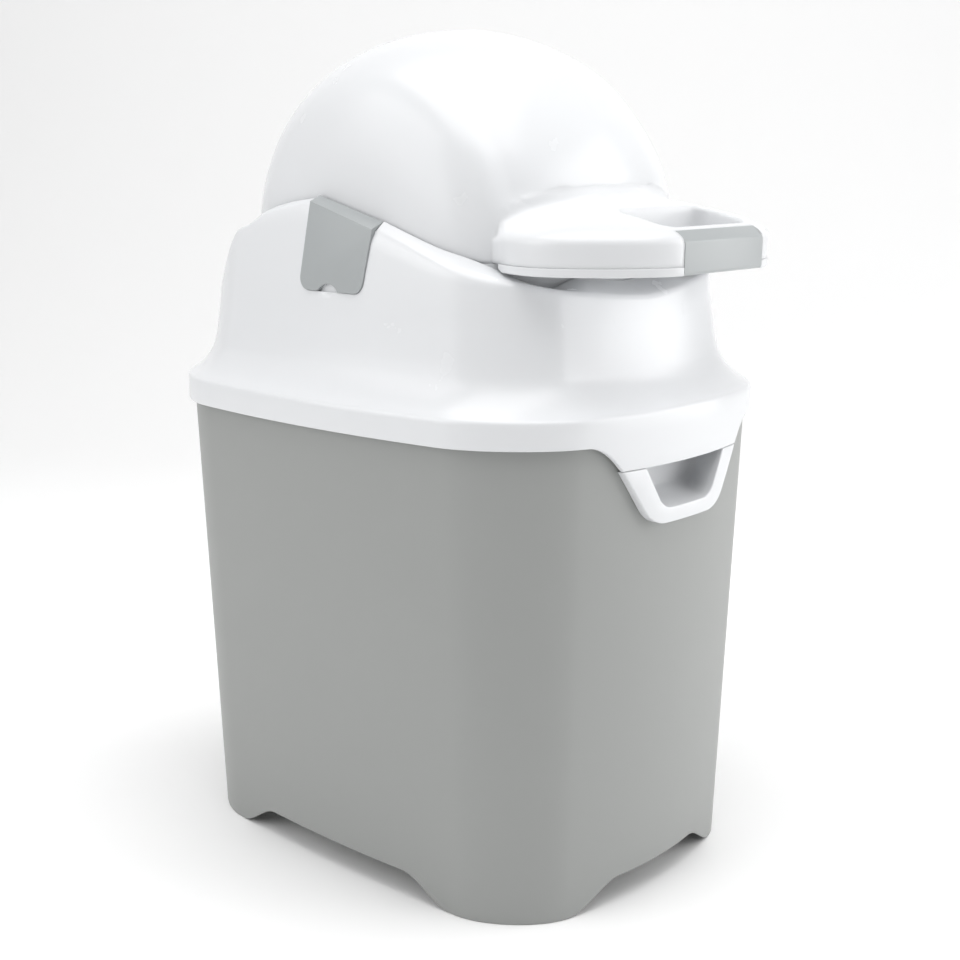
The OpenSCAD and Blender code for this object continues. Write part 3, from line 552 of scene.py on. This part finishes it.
# A place well in front of the bin, where a cutter starts
OUTSIDE = -230.0


def pail_piece(s):
    """The bucket's shell, from the floor's underside round the rim to the floor's upper face."""
    under = s.floor_height - FLOOR_THICKNESS
    foot, wall = foot_height(s), s.pail_wall

    def wall_ring(z, depth=0.0):
        return ring(inset(pail_line(s, z), depth), z)

    rows = [(wall_ring(under, wall + 6), 0), (wall_ring(under, wall), 1.5)]
    rows += [(wall_ring(foot, wall), 0.7), (wall_ring(foot, 0), 1.0)]
    rows += between(wall_ring(foot, 0), wall_ring(s.rim_height, 0), 10)
    rows += [(wall_ring(s.rim_height, 0), 0.6), (wall_ring(s.rim_height, wall), 0.6)]
    rows += between(wall_ring(s.rim_height, wall), wall_ring(s.floor_height, wall), 6)
    rows += [(wall_ring(s.floor_height, wall), 6), (wall_ring(s.floor_height, wall + 14), 0)]
    return loft("pail_shell", softened(rows, closed=False), closed=False)


def prism_faces(count):
    """The faces of a prism between two outlines of count points."""
    ends = [tuple(range(count)), tuple(range(2 * count - 1, count - 1, -1))]
    return ends + [(i, (i + 1) % count, count + (i + 1) % count, count + i) for i in range(count)]


def prism(name, rim, low, high, along="y"):
    """A straight prism from an outline in height and one other direction."""
    points = [(c, end, z) if along == "y" else (end, c, z) for end in (low, high) for c, z in rim]
    return new_piece(name, points, prism_faces(len(rim)))


def lower_corner(centre, r, top, steps):
    """Straight side from a top point down to a round lower corner, as far as its lowest point."""
    to_top = np.subtract(top, centre)
    side = math.atan2(to_top[1], to_top[0]) - math.acos(r / np.linalg.norm(to_top))
    return [tuple(top)] + [(centre[0] + r * math.cos(a), centre[1] + r * math.sin(a))
                           for a in np.linspace(side, -math.pi / 2, steps)]


def cup_outline(w_top, w_foot, z0, z1, r, steps=24):
    """Upright outline, wide at the top, with round lower corners."""
    right = lower_corner((w_foot / 2 - r, z0 + r), r, (w_top / 2, z1), steps)
    return right + [(-x, z) for x, z in reversed(right)]


class NAPPYBIN_OT_pail(bpy.types.Operator):
    """Add the grey bucket with its four corner feet and the opening for the finger pull"""
    bl_idname = "nappy_bin.pail"
    bl_label = "Bucket"

    def execute(self, context):
        s = shape()
        pail = pail_piece(s)
        around = TUB_WALL + 0.3
        opening = cup_outline(s.pocket_width + 2 * around, POCKET_FOOT + 2 * around,
                              s.pocket_height - around, s.rim_height - 3.7, POCKET_CORNER + TUB_WALL)
        cut(pail, prism("opening", opening, OUTSIDE, -156))
        finish_piece(pail, "bucket", "grey_plastic", pail_plastic(), "pail")
        return {"FINISHED"}


# ------------------------------------------------------------------ carried-over pieces

def round_edges(mesh, bevel, clamp=True):
    """Merges a mesh's flat faces and rounds its sharp edges."""
    form = bmesh.new()
    form.from_mesh(mesh)
    bmesh.ops.remove_doubles(form, verts=form.verts, dist=2e-6)
    bmesh.ops.dissolve_degenerate(form, dist=1e-6, edges=form.edges)
    bmesh.ops.dissolve_limit(form, angle_limit=math.radians(0.7), verts=form.verts, edges=form.edges)
    sharp = [e for e in form.edges if len(e.link_faces) == 2 and e.calc_face_angle() > math.radians(35)]
    if bevel > 0:
        bmesh.ops.bevel(form, geom=sharp, offset=bevel * MM, segments=3, profile=0.5,
                        affect="EDGES", clamp_overlap=clamp)
    form.to_mesh(mesh)
    form.free()


def dressed(node, body, slot, material, bevel):
    """A copy of a CAD piece with its flat faces merged and its edges rounded."""
    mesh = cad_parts[node].data.copy()
    mesh.name = node + "_moulding"
    round_edges(mesh, bevel)
    piece = bpy.data.objects.new(mesh.name, mesh)
    bpy.context.scene.collection.objects.link(piece)
    return finish_piece(piece, body, slot, material, node, angle=40.0)


def pocket_block(s, name, grow, top):
    """The finger pocket's shape: its floor rises and its sides spread towards the back."""
    wall = -s.rim_depth / 2
    back = wall + s.pocket_depth + grow
    # Place, wider foot, rise of the floor and smaller corners of each section
    sections = ((OUTSIDE, 0, 0, 0), (wall + 3, 0, 0.2, 0), (wall + 12, 12, 2.4, 1),
                (back - 2.2, 22, 5.2, 3), (back, 18, 7.4, 3))
    rows = []
    for y, wider, rise, sharper in sections:
        rim = cup_outline(s.pocket_width + 2 * grow, POCKET_FOOT + wider + 2 * grow,
                          s.pocket_height + rise - grow, top, POCKET_CORNER - sharper + grow)
        rows.append(np.array([(x, y, z) for x, z in rim]))
    return loft(name, rows, closed=False)


def bucket_block(s, name, grow):
    """The bucket as a solid, from floor to rim."""
    return loft(name, [ring(inset(s.base_line, -grow), 0), ring(inset(s.rim_line, -grow), s.rim_height)],
                closed=False)


def finger_pull_piece(s):
    """The frame on the bucket's front with the tub behind it."""
    frame_top, tub_top = s.skirt_height - s.apron_drop - 0.3, s.rim_height - 4
    rim = cup_outline(s.apron_width, FRAME_FOOT, s.frame_height, frame_top, FRAME_CORNER)
    pull = prism("finger_pull_shell", rim, OUTSIDE, -100)
    front_face = loft("skirt_face", [ring(s.flange_line, 240), ring(s.flange_line, 290)], closed=False)
    cut(pull, front_face, "INTERSECT")
    cut(pull, bucket_block(s, "bucket_space", 0.05))
    tub = pocket_block(s, "tub", TUB_WALL, tub_top)
    cut(tub, bucket_block(s, "bucket_limit", 0.3), "INTERSECT")
    cut(pull, tub, "UNION")
    cut(pull, pocket_block(s, "pocket", 0, tub_top - TUB_WALL))
    round_edges(pull.data, 0.8, clamp=False)
    return pull


class NAPPYBIN_OT_finger_pull(bpy.types.Operator):
    """Add the white finger pull that is set into the front of the bucket"""
    bl_idname = "nappy_bin.finger_pull"
    bl_label = "Finger Pull"

    def execute(self, context):
        pull = finger_pull_piece(shape())
        finish_piece(pull, "bucket", "white_plastic", white_plastic(), "finger_pull", angle=40.0)
        return {"FINISHED"}


class NAPPYBIN_OT_rim_fittings(bpy.types.Operator):
    """Add the ring that holds the bag, the gasket under the lid and the seal round the drum"""
    bl_idname = "nappy_bin.rim_fittings"
    bl_label = "Bag Ring and Seals"

    def execute(self, context):
        dressed("bag_ring", "bucket", "white_plastic", white_plastic(), 0.0)
        dressed("lid_gasket", "lid", "seal_rubber", seal_rubber(), 0.0)
        dressed("drum_seal", "lid", "seal_rubber", seal_rubber(), 0.0)
        return {"FINISHED"}


class NAPPYBIN_OT_hinges(bpy.types.Operator):
    """Add the two hinges at the back, with their pins and screws"""
    bl_idname = "nappy_bin.hinges"
    bl_label = "Hinges"

    def execute(self, context):
        for side in ("left", "right"):
            dressed("hinge_bracket_" + side, "bucket", "white_plastic", white_plastic(), 0.3)
            dressed("hinge_arm_" + side, "lid", "white_plastic", white_plastic(), 0.5)
            dressed("hinge_pin_" + side, "bucket", "steel", plain_steel(), 0.4)
        dressed("hinge_screws", "bucket", "steel", plain_steel(), 0.3)
        return {"FINISHED"}


class NAPPYBIN_OT_pivots(bpy.types.Operator):
    """Add the bearings in the lid and the pins that carry the drum"""
    bl_idname = "nappy_bin.pivots"
    bl_label = "Pivots"

    def execute(self, context):
        for side in ("left", "right"):
            dressed("pivot_bearing_" + side, "lid", "white_plastic", white_plastic(), 0.5)
            dressed("pivot_pin_" + side, "drum", "white_plastic", white_plastic(), 0.5)
        return {"FINISHED"}


# ------------------------------------------------------------------ lid

# The pivot caps: lower corners, heights of the lower edge and the two upper corners, and their pocket
CAP_CORNER = 8.0
CAP_BOTTOM, CAP_FRONT, CAP_BACK = 380.0, 418.5, 433.0
CAP_POCKET = 2.0
# Room over the caps, and how far it leans forward as it rises
LIFT_ROOM, LIFT_LEAN = 60.0, 0.15


def leaning(s, points, side):
    """Points given as depth, y and height on the leaning collar wall, turned into place."""
    lean = math.atan(LEAN * (s.flange_line[0] - s.collar_line[0]))
    points = np.asarray(points, float)
    depth, up = points[:, 0], points[:, 2] - COLLAR_HEIGHT
    x = -s.collar_width / 2 + depth * math.cos(lean) + up * math.sin(lean)
    z = COLLAR_HEIGHT - depth * math.sin(lean) + up * math.cos(lean)
    return np.column_stack([x if side == "left" else -x, points[:, 1] + s.axis_y, z])


def cap_outline(s, grow, steps=12):
    """Side view of a cap as y and z: sloping top, sides that lean forward and round lower corners."""
    inner, low, r = s.cap_width / 2 - CAP_CORNER, CAP_BOTTOM + CAP_CORNER, CAP_CORNER + grow
    back = lower_corner((inner, low), r, (s.cap_width / 2 - s.cap_rake + grow, CAP_BACK + grow), steps)
    front = lower_corner((inner, low), r, (s.cap_width / 2 + s.cap_rake + grow, CAP_FRONT + grow), steps)
    return back + [(-y, z) for y, z in reversed(front)]


def cap_solid(s, side, grow, depth, proud, name):
    """A cap's outline as a solid that reaches from outside the collar's wall to a depth in it."""
    rim = cap_outline(s, grow)
    points = [(-proud, y, z) for y, z in rim] + [(depth, y, z) for y, z in rim]
    return new_piece(name, leaning(s, points, side), prism_faces(len(rim)))


def cap_roof(s, side, grow, up, name):
    """The part of a cap that lies over the ledge, with the space over it up to a height."""
    inner, outer = -(s.drum_width / 2 + s.drum_gap + 0.2) + grow, -(s.collar_width / 2 + 3)
    low = []
    for side_y, z in ((-1, CAP_FRONT), (1, CAP_BACK)):
        y = side_y * (s.cap_width / 2 + grow - 0.1) - s.cap_rake + s.axis_y
        low += [(outer, y, z - 3.4 - grow), (inner, y, z + 2.1 - grow)]
    points = np.array(low + [(x, y - LIFT_LEAN * up, z + 2.4 + grow + up) for x, y, z in low])
    if side == "right":
        points[:, 0] *= -1
    faces = [(0, 1, 3, 2), (4, 6, 7, 5), (0, 4, 5, 1), (2, 3, 7, 6), (0, 2, 6, 4), (1, 5, 7, 3)]
    return new_piece(name, points, faces)


def dish(s, side, r=20.0, depth=2.1):
    """A ball whose cap cuts a shallow hollow for a fingertip under a pivot cap."""
    middle = leaning(s, [(depth - r, 2.5, CAP_BOTTOM + 6.5)], side)[0]
    form = bmesh.new()
    bmesh.ops.create_uvsphere(form, u_segments=96, v_segments=64, radius=r)
    points = [np.array(v.co) + middle for v in form.verts]
    faces = [[v.index for v in f.verts] for f in form.faces]
    form.free()
    return new_piece("dish", points, faces)


def edge_radius(s):
    """Rounding of the ledge's outer edge: wide beside the drum, small at the front."""
    share = np.where(FRONT, smooth((travel(s.collar_line) - 40) / 150), 0)
    return mix(9.0, 3.0, share)[:, None]


def hood_piece(s):
    """The lid's shell, from the skirt over the collar and the ledge, down the mouth and back inside."""
    wall, top = s.lid_wall, s.flange_height
    curve = curve_through(FILLET, 4)
    rows = [(skirt_ring(s, 0), 0.9)]
    rows += between(skirt_ring(s, 0), ring(s.flange_line, top - 2), 3)
    rows += [(lid_ring(s, t, top + z), 0) for t, z in curve]
    rows += between(lid_ring(s, curve[-1][0], top + curve[-1][1]), collar_ring(s, 1, 0, 16), 12)
    rows += [(collar_ring(s, 1, 0, 0), edge_radius(s)), (mouth_ring(s, s.drum_gap, 0), 1.0),
             (mouth_ring(s, s.drum_gap, 6), 0.4),
             (mouth_ring(s, s.drum_gap + 2, 6), 0.4), (mouth_ring(s, s.drum_gap + 2, wall), 0)]
    rows += [(collar_ring(s, 1, wall, wall + 2), 0), (collar_ring(s, 0.5, wall, 4), 0)]
    inner = [(t, top + z - 2.2) for t, z in FILLET[:4:-1]]
    rows += [(lid_ring(s, t, z, wall), 0) for t, z in inner]
    ceiling = top - 2.6
    rows += [(lid_ring(s, 0.7, ceiling, wall), 0), (ring(inset(s.flange_line, wall - 0.4), ceiling), 1.0),
             (skirt_ring(s, wall - 0.4), 0.7)]
    return loft("hood_shell", softened(rows))


class NAPPYBIN_OT_hood(bpy.types.Operator):
    """Add the lid shell: flange with its apron, collar, ledge and the pockets for the pivot caps"""
    bl_idname = "nappy_bin.hood"
    bl_label = "Lid Shell"

    def execute(self, context):
        s = shape()
        hood = hood_piece(s)
        for side in ("left", "right"):
            cut(hood, cap_solid(s, side, 0.3, CAP_POCKET, 60, "pocket"))
            cut(hood, cap_roof(s, side, 0.3, LIFT_ROOM, "clearance"))
            cut(hood, dish(s, side))
        finish_piece(hood, "lid", "white_plastic", white_plastic(), "hood")
        return {"FINISHED"}


class NAPPYBIN_OT_pivot_caps(bpy.types.Operator):
    """Add the two grey caps that cover the pivots"""
    bl_idname = "nappy_bin.pivot_caps"
    bl_label = "Pivot Caps"

    def execute(self, context):
        for side in ("left", "right"):
            dressed("pivot_cap_" + side, "cap_" + side, "trim_grey", trim_plastic(), 0.7)
        return {"FINISHED"}


# ------------------------------------------------------------------ drum

# The creases of the dome: distance from the middle and width, and the angles where they start and end
CREASE_PLACE, CREASE_WIDTH = 91.0, 17.0
CREASE_START, CREASE_END = (8.0, 10.0), (62.0, 30.0)
DRUM_WALL = 2.6
# The dome is this share narrower than the drum, to clear the lip of its seal
SEAL_ROOM = 0.998


def set_back(s, x, a):
    """Depth by which the middle of the dome lies inside the barrel, between the two creases."""
    across = smooth((CREASE_PLACE - np.abs(x)) / CREASE_WIDTH)
    round_drum = smooth((a - CREASE_START[0]) / CREASE_START[1]) * smooth((CREASE_END[0] - a) / CREASE_END[1])
    return s.crease * across * round_drum


def half_profile(s, grow):
    """Drum profile as x and radius, from the middle to the pole."""
    turn = np.radians(np.concatenate([np.arange(0, 40, 2), np.arange(40, 64, 0.75)]))
    x = (s.drum_width / 2 + grow) * np.sin(turn) ** (2 / BARREL)
    r = (s.drum_radius + grow) * np.cos(turn) ** (2 / FULLNESS)
    ends = np.linspace(r[-1], 8, 26)[1:]
    x_ends = (s.drum_width / 2 + grow) * (1 - (ends / (s.drum_radius + grow)) ** FULLNESS) ** (1 / BARREL)
    return np.concatenate([x, x_ends]), np.concatenate([r, ends])


def dome_rows(s):
    """C-shaped sections of the dome's shell, swept about the axis from front to back."""
    def whole(grow):
        x, r = half_profile(s, grow)
        return np.concatenate([-x[:0:-1], x]), np.concatenate([r[:0:-1], r])

    outer, inner = whole(0.0), whole(-DRUM_WALL)
    x = np.concatenate([outer[0], inner[0][::-1]])
    r = np.concatenate([outer[1], inner[1][::-1]])
    dip = np.degrees(np.arcsin((s.axis_z - s.split) / r))
    rows = []
    for u in np.linspace(0, 1, 200):
        a = u * (180 + 2 * dip) - dip
        radius = r - set_back(s, x, a)
        angle = np.radians(a)
        rows.append(np.column_stack([x, s.axis_y - radius * np.cos(angle),
                                     s.axis_z + radius * np.sin(angle)]))
    return rows


def dome_piece(s):
    """The dome's shell, from the sections swept about the drum's axis."""
    rows = dome_rows(s)
    n = len(rows[0])
    last = (len(rows) - 1) * n
    strip = [(k, k + 1, n - 2 - k, n - 1 - k) for k in range(n // 2 - 1)]
    faces = grid_faces(n, len(rows), False) + strip + [tuple(last + v for v in reversed(f)) for f in strip]
    return new_piece("dome_shell", np.concatenate(rows) * (SEAL_ROOM, 1, 1), faces)


# The handle's outline: softness of its front corners, how it narrows towards the drum and from where
TONGUE_SOFT, TONGUE_TAPER, TAPER_FROM = 1.6, 0.0085, -145.0
# How far the handle flares out at the drum, and over which run
FLARE, FLARE_RUN = 3.0, 3.0
# The handle's round edges, at its rim and at the finger gap, and its fillet to the dome
RIM_ROUND, GAP_ROUND, DECK_FILLET = 2.6, 2.2, 12.0
TURNS = np.radians(np.linspace(0, 360, 600, endpoint=False))


def edge_distance(s, x, y):
    """Distance in from the handle's edge, before it flares out at the drum."""
    r = s.tongue_corner
    qx = np.abs(x) + TONGUE_TAPER * np.maximum(0, y - TAPER_FROM) ** 2 - (s.tongue_width / 2 - r)
    qy = -y - (s.tongue_reach - r)
    corner = (np.maximum(qx, 0) ** TONGUE_SOFT + np.maximum(qy, 0) ** TONGUE_SOFT) ** (1 / TONGUE_SOFT)
    return r - corner - np.minimum(np.maximum(qx, qy), 0)


def off_drum(s, x, y):
    """Distance in front of the drum's widest line."""
    return s.axis_y - y - drum_profile_radius(s, x)


def flared_edge(s, x, y):
    """Distance in from the handle's edge, with its flare at the drum."""
    return edge_distance(s, x, y) + FLARE * np.exp(-np.maximum(off_drum(s, x, y), 0) / FLARE_RUN)


def quarter_round(distance, radius):
    """Height lost beside an edge that is rounded with a radius."""
    left = radius - np.clip(distance, 0, radius)
    return radius - np.sqrt(radius ** 2 - left ** 2)


def deck_height(s, x, y):
    """Height of the handle's upper face: a crown inside round edges, and a fillet up to the dome."""
    d = np.maximum(0, edge_distance(s, x, y))
    deck = s.edge_height + 6 * (1 - np.exp(-d / 8)) + 0.2 * d
    dip = 0.6 * set_back(s, x, 40.0)
    drum, r = drum_profile_radius(s, x) - dip, DECK_FILLET
    middle = np.sqrt(np.maximum(1, (drum + r) ** 2 - (deck + r - s.axis_z) ** 2)) - drum
    fillet = r - np.sqrt(r ** 2 - np.clip(middle - off_drum(s, x, y) - dip, 0, r) ** 2)
    lost = quarter_round(flared_edge(s, x, y), RIM_ROUND) + quarter_round(gap_distance(s, x, y), GAP_ROUND)
    return deck + fillet * smooth(d / 3) - lost


def gap_middle(s):
    """How far the finger gap's middle lies in front of the origin."""
    return s.tongue_reach - s.bar_depth - s.gap_depth / 2


def gap_distance(s, x, y, corner=9.0):
    """Distance out from the finger gap's edge."""
    qx = np.abs(x) - (s.gap_width / 2 - corner)
    qy = np.abs(y + gap_middle(s)) - (s.gap_depth / 2 - corner)
    return np.hypot(np.maximum(qx, 0), np.maximum(qy, 0)) + np.minimum(np.maximum(qx, qy), 0) - corner


def reaches(s, root):
    """How far the handle's edge and the finger gap's edge lie from the gap's middle, for each turn."""
    cos, sin, mid = np.cos(TURNS), np.sin(TURNS), gap_middle(s)

    def halve(inside, low, high):
        low, high = np.full(len(TURNS), low), np.full(len(TURNS), high)
        for _ in range(30):
            m = (low + high) / 2
            keep = inside(m * cos, m * sin - mid)
            low, high = np.where(keep, m, low), np.where(keep, high, m)
        return low

    def on_tongue(x, y):
        return np.minimum(flared_edge(s, x, y), off_drum(s, x, y) - root) > 0

    def in_gap(x, y):
        return gap_distance(s, x, y) < 0

    return halve(on_tongue, 10.0, 160.0), halve(in_gap, 5.0, 70.0)


def tongue_loop(s, m, z=None):
    """A loop round the handle at distance m from the gap's middle, on the deck or at height z."""
    x, y = m * np.cos(TURNS), m * np.sin(TURNS) - gap_middle(s)
    height = deck_height(s, x, y) if z is None else np.full(len(TURNS), z)
    return np.column_stack([x, y, height])


# How far in from the handle's edge, and out from the gap's edge, the rows of its mesh lie
EDGE_STEPS = (0, 0.05, 0.18, 0.4, 0.75, 1.15, 1.5, 1.85, 2.3, 2.9, 3.7, 4.9, 6.5, 8.5)
GAP_STEPS = (2.6, 1.9, 1.3, 0.8, 0.4, 0.15, 0.04, 0)
# How far the handle reaches into the drum, so that the two join
TONGUE_ROOT = -6.5
# Half the width of the line between the handle's two mouldings
HALF_SEAM = 0.05


def tongue_piece(s):
    """The handle's upper moulding, with rows packed towards its edges."""
    outer, inner = reaches(s, TONGUE_ROOT)
    span = outer - inner
    near = np.minimum(1, 0.5 * span / EDGE_STEPS[-1])
    split = s.split + HALF_SEAM
    rows = [(tongue_loop(s, outer - 0.3, split), 0.3), (tongue_loop(s, outer - 0.2, split + 1.5), 0)]
    rows += [(tongue_loop(s, outer - step * near), 0) for step in EDGE_STEPS]
    start, end = outer - EDGE_STEPS[-1] * near, inner + GAP_STEPS[0]
    rows += [(tongue_loop(s, mix(start, end, t)), 0) for t in np.linspace(0, 1, 34)[1:-1]]
    rows += [(tongue_loop(s, inner + step), 0) for step in GAP_STEPS]
    rows += [(tongue_loop(s, inner, split), 0.35)]
    return loft("handle_tongue", softened(rows))


# The ramp under the handle: where it starts and ends, and its slope
RAMP_START, RAMP_END, RAMP_SLOPE = -119.0, -80.0, 0.48
# Where the cover under the handle ends
COVER_BACK = -112.0
# Clearance round the grip
GRIP_ROOM = 0.15


def ramp_block(s):
    """Everything below a slope that clears the ledge beside the handle's rear corners."""
    low = s.handle_height - 1
    high = low + RAMP_SLOPE * (RAMP_END - RAMP_START)
    rim = [(RAMP_START, low - 20), (RAMP_START, low), (RAMP_END, high), (RAMP_END, low - 20)]
    return prism("ramp", rim, -150, 150, along="x")


def box_piece(name, low, high):
    """A box between its lowest and its highest corner."""
    corners = [(x, y, z) for z in (low[2], high[2]) for y in (low[1], high[1]) for x in (low[0], high[0])]
    faces = [(0, 2, 3, 1), (4, 5, 7, 6), (0, 1, 5, 4), (2, 6, 7, 3), (0, 4, 6, 2), (1, 3, 7, 5)]
    return new_piece(name, corners, faces)


def grip_space(s):
    """The notch in the handle's bar that the grip fills."""
    half, front = s.grip_width / 2 + GRIP_ROOM, -s.tongue_reach
    return box_piece("grip_space", (-half, front - 8, s.handle_height - 8),
                     (half, front + s.grip_depth + GRIP_ROOM, s.edge_height + 34))


class NAPPYBIN_OT_drum(bpy.types.Operator):
    """Add the drum's dome with the upper moulding of its handle, and the drum's lower half"""
    bl_idname = "nappy_bin.drum"
    bl_label = "Drum"

    def execute(self, context):
        s = shape()
        tongue = cut(cut(tongue_piece(s), grip_space(s)), ramp_block(s))
        dome = cut(dome_piece(s), tongue, "UNION")
        finish_piece(dome, "drum", "white_plastic", blended_plastic(), "drum_dome")
        dressed("drum_base", "drum", "white_plastic", white_plastic(), 0.4)
        return {"FINISHED"}


class NAPPYBIN_OT_handle(bpy.types.Operator):
    """Add the handle's lower cover and its grey grip"""
    bl_idname = "nappy_bin.handle"
    bl_label = "Handle Cover and Grip"

    def execute(self, context):
        s = shape()
        outer, inner = reaches(s, 0.3)
        low, high = s.handle_height, s.split - HALF_SEAM
        rows = [(tongue_loop(s, outer, low), 1.4), (tongue_loop(s, outer, high), 0.5),
                (tongue_loop(s, inner, high), 0.35), (tongue_loop(s, inner, low), 1.2)]
        cover = cut(loft("handle_lower_cover", softened(rows)), grip_space(s))
        cut(cover, ramp_block(s))
        cut(cover, box_piece("cover_end", (-200, COVER_BACK, low - 1), (200, COVER_BACK + 60, high + 1)))
        finish_piece(cover, "drum", "white_plastic", white_plastic(), "handle_cover")
        dressed("handle_grip", "drum", "trim_grey", trim_plastic(), 0.8)
        return {"FINISHED"}


class NAPPYBIN_OT_chamber(bpy.types.Operator):
    """Add the nappy chamber inside the drum, with its piston, weight, seal and screws"""
    bl_idname = "nappy_bin.chamber"
    bl_label = "Chamber and Piston"

    def execute(self, context):
        dressed("nappy_chamber", "drum", "white_plastic", white_plastic(), 0.5)
        dressed("chamber_screws", "drum", "steel", plain_steel(), 0.25)
        dressed("piston", "piston", "trim_grey", trim_plastic(), 0.6)
        dressed("piston_weight", "piston", "steel", plain_steel(), 0.6)
        dressed("piston_seal", "piston", "seal_rubber", seal_rubber(), 0.2)
        return {"FINISHED"}


# ------------------------------------------------------------------ stage

# The camera: degrees round from the front and up, place of the eye and focal length
AZIMUTH, ELEVATION = -47.76, 12.63
EYE = (-0.7338, -0.6820, 0.4663)
LENS, SENSOR = 55.67, 36.0
# The studio floor: its front edge, where it starts to bend up, the bend, half its width and its top
FLOOR_FRONT, FLOOR_END, FLOOR_BEND, FLOOR_HALF, WALL_TOP = -3.0, 1.2, 1.4, 3.0, 3.2
# Middle of the bin, and each light's name, place, size and power
AIM = (0.0, 0.0, 0.27)
SOFTBOXES = (("left_softbox", (-2.2, 1.0, 1.5), (2.2, 2.0), 27),
             ("right_softbox", (1.7, -1.9, 0.9), (2.2, 2.2), 45),
             ("top_softbox", (-0.2, -0.3, 2.4), (2.2, 2.2), 46))
WORLD_LIGHT = 0.31


def softbox(name, place, size, power):
    """A rectangular light that points at the middle of the bin."""
    lamp = bpy.data.lights.new(name, "AREA")
    lamp.shape, lamp.size, lamp.size_y = "RECTANGLE", size[0], size[1]
    lamp.energy = power
    light = bpy.data.objects.new(name, lamp)
    light.location = place
    light.rotation_euler = (Vector(AIM) - Vector(place)).to_track_quat("-Z", "Y").to_euler()
    bpy.context.scene.collection.objects.link(light)


def studio_floor():
    """The pale floor, which bends up into a wall behind the bin, square to the camera."""
    profile = [(FLOOR_FRONT, 0.0), (FLOOR_END, 0.0)]
    profile += [(FLOOR_END + FLOOR_BEND * math.sin(a), FLOOR_BEND * (1 - math.cos(a)))
                for a in np.linspace(0, math.pi / 2, 24)[1:]]
    profile += [(FLOOR_END + FLOOR_BEND, WALL_TOP)]
    view = math.radians(-AZIMUTH)
    points = []
    for side in (-FLOOR_HALF, FLOOR_HALF):
        for along, up in profile:
            x = along * math.sin(view) + side * math.cos(view)
            y = along * math.cos(view) - side * math.sin(view)
            points.append((x / MM, y / MM, up / MM))
    count = len(profile)
    faces = [(i, i + 1, count + i + 1, count + i) for i in range(count - 1)]
    floor = new_piece("studio_floor", points, faces)
    smooth_shading(floor, 60)
    floor.data.materials.append(moulded_plastic("pale floor", finishes().backdrop, 0.7, tint=0.004))


def studio_light():
    """Even light from all round and three soft boxes."""
    world = bpy.data.worlds.new("studio")
    world.use_nodes = True
    background = world.node_tree.nodes["Background"]
    background.inputs["Color"].default_value = (1.0, 1.0, 1.0, 1.0)
    background.inputs["Strength"].default_value = WORLD_LIGHT
    bpy.context.scene.world = world
    for name, place, size, power in SOFTBOXES:
        softbox(name, place, size, power)


def studio_camera():
    """The camera in front of the bin's left corner."""
    camera = bpy.data.cameras.new("camera")
    camera.lens, camera.sensor_width = LENS, SENSOR
    camera.clip_end = 50.0
    viewer = bpy.data.objects.new("camera", camera)
    azimuth, elevation = math.radians(AZIMUTH), math.radians(ELEVATION)
    back = Vector((math.sin(azimuth) * math.cos(elevation), -math.cos(azimuth) * math.cos(elevation),
                   math.sin(elevation)))
    viewer.location = EYE
    viewer.rotation_euler = (-back).to_track_quat("-Z", "Y").to_euler()
    bpy.context.scene.collection.objects.link(viewer)
    bpy.context.scene.camera = viewer


class NAPPYBIN_OT_stage(bpy.types.Operator):
    """Add the pale floor, soft studio lights and the camera"""
    bl_idname = "nappy_bin.stage"
    bl_label = "Stage"

    def execute(self, context):
        studio_floor()
        studio_light()
        studio_camera()
        context.scene.view_settings.view_transform = "Standard"
        return {"FINISHED"}


# ------------------------------------------------------------------ panel and registration

class NAPPYBIN_PT_panel(bpy.types.Panel):
    """Lists the pieces of the bin with its sizes and finishes"""
    bl_idname = "NAPPYBIN_PT_panel"
    bl_label = "Nappy Bin"
    bl_space_type = "VIEW_3D"
    bl_region_type = "UI"
    bl_category = "Nappy Bin"

    def draw(self, context):
        layout = self.layout
        for operator in PIECES:
            layout.operator(operator.bl_idname)
        groups = {"Sizes": context.scene.nappy_bin_sizes, "Finish": context.scene.nappy_bin_finish}
        for title, group in groups.items():
            box = layout.box()
            box.label(text=title)
            for key in type(group).__annotations__:
                box.prop(group, key)


PIECES = (NAPPYBIN_OT_stage, NAPPYBIN_OT_pail, NAPPYBIN_OT_finger_pull, NAPPYBIN_OT_rim_fittings,
          NAPPYBIN_OT_hinges, NAPPYBIN_OT_hood, NAPPYBIN_OT_pivots, NAPPYBIN_OT_pivot_caps,
          NAPPYBIN_OT_drum, NAPPYBIN_OT_handle, NAPPYBIN_OT_chamber)
CLASSES = (NappyBinSizes, NappyBinFinish, *PIECES, NAPPYBIN_PT_panel)


def register():
    """Adds the classes and the two groups of properties to Blender."""
    for cls in CLASSES:
        bpy.utils.register_class(cls)
    bpy.types.Scene.nappy_bin_sizes = PointerProperty(type=NappyBinSizes)
    bpy.types.Scene.nappy_bin_finish = PointerProperty(type=NappyBinFinish)


def unregister():
    """Takes them out again."""
    del bpy.types.Scene.nappy_bin_finish
    del bpy.types.Scene.nappy_bin_sizes
    for cls in reversed(CLASSES):
        bpy.utils.unregister_class(cls)


def main():
    """Registers the add-on and builds the bin piece by piece."""
    register()
    for operator in PIECES:
        group, name = operator.bl_idname.split(".")
        getattr(getattr(bpy.ops, group), name)()


if __name__ == "__main__":
    main()
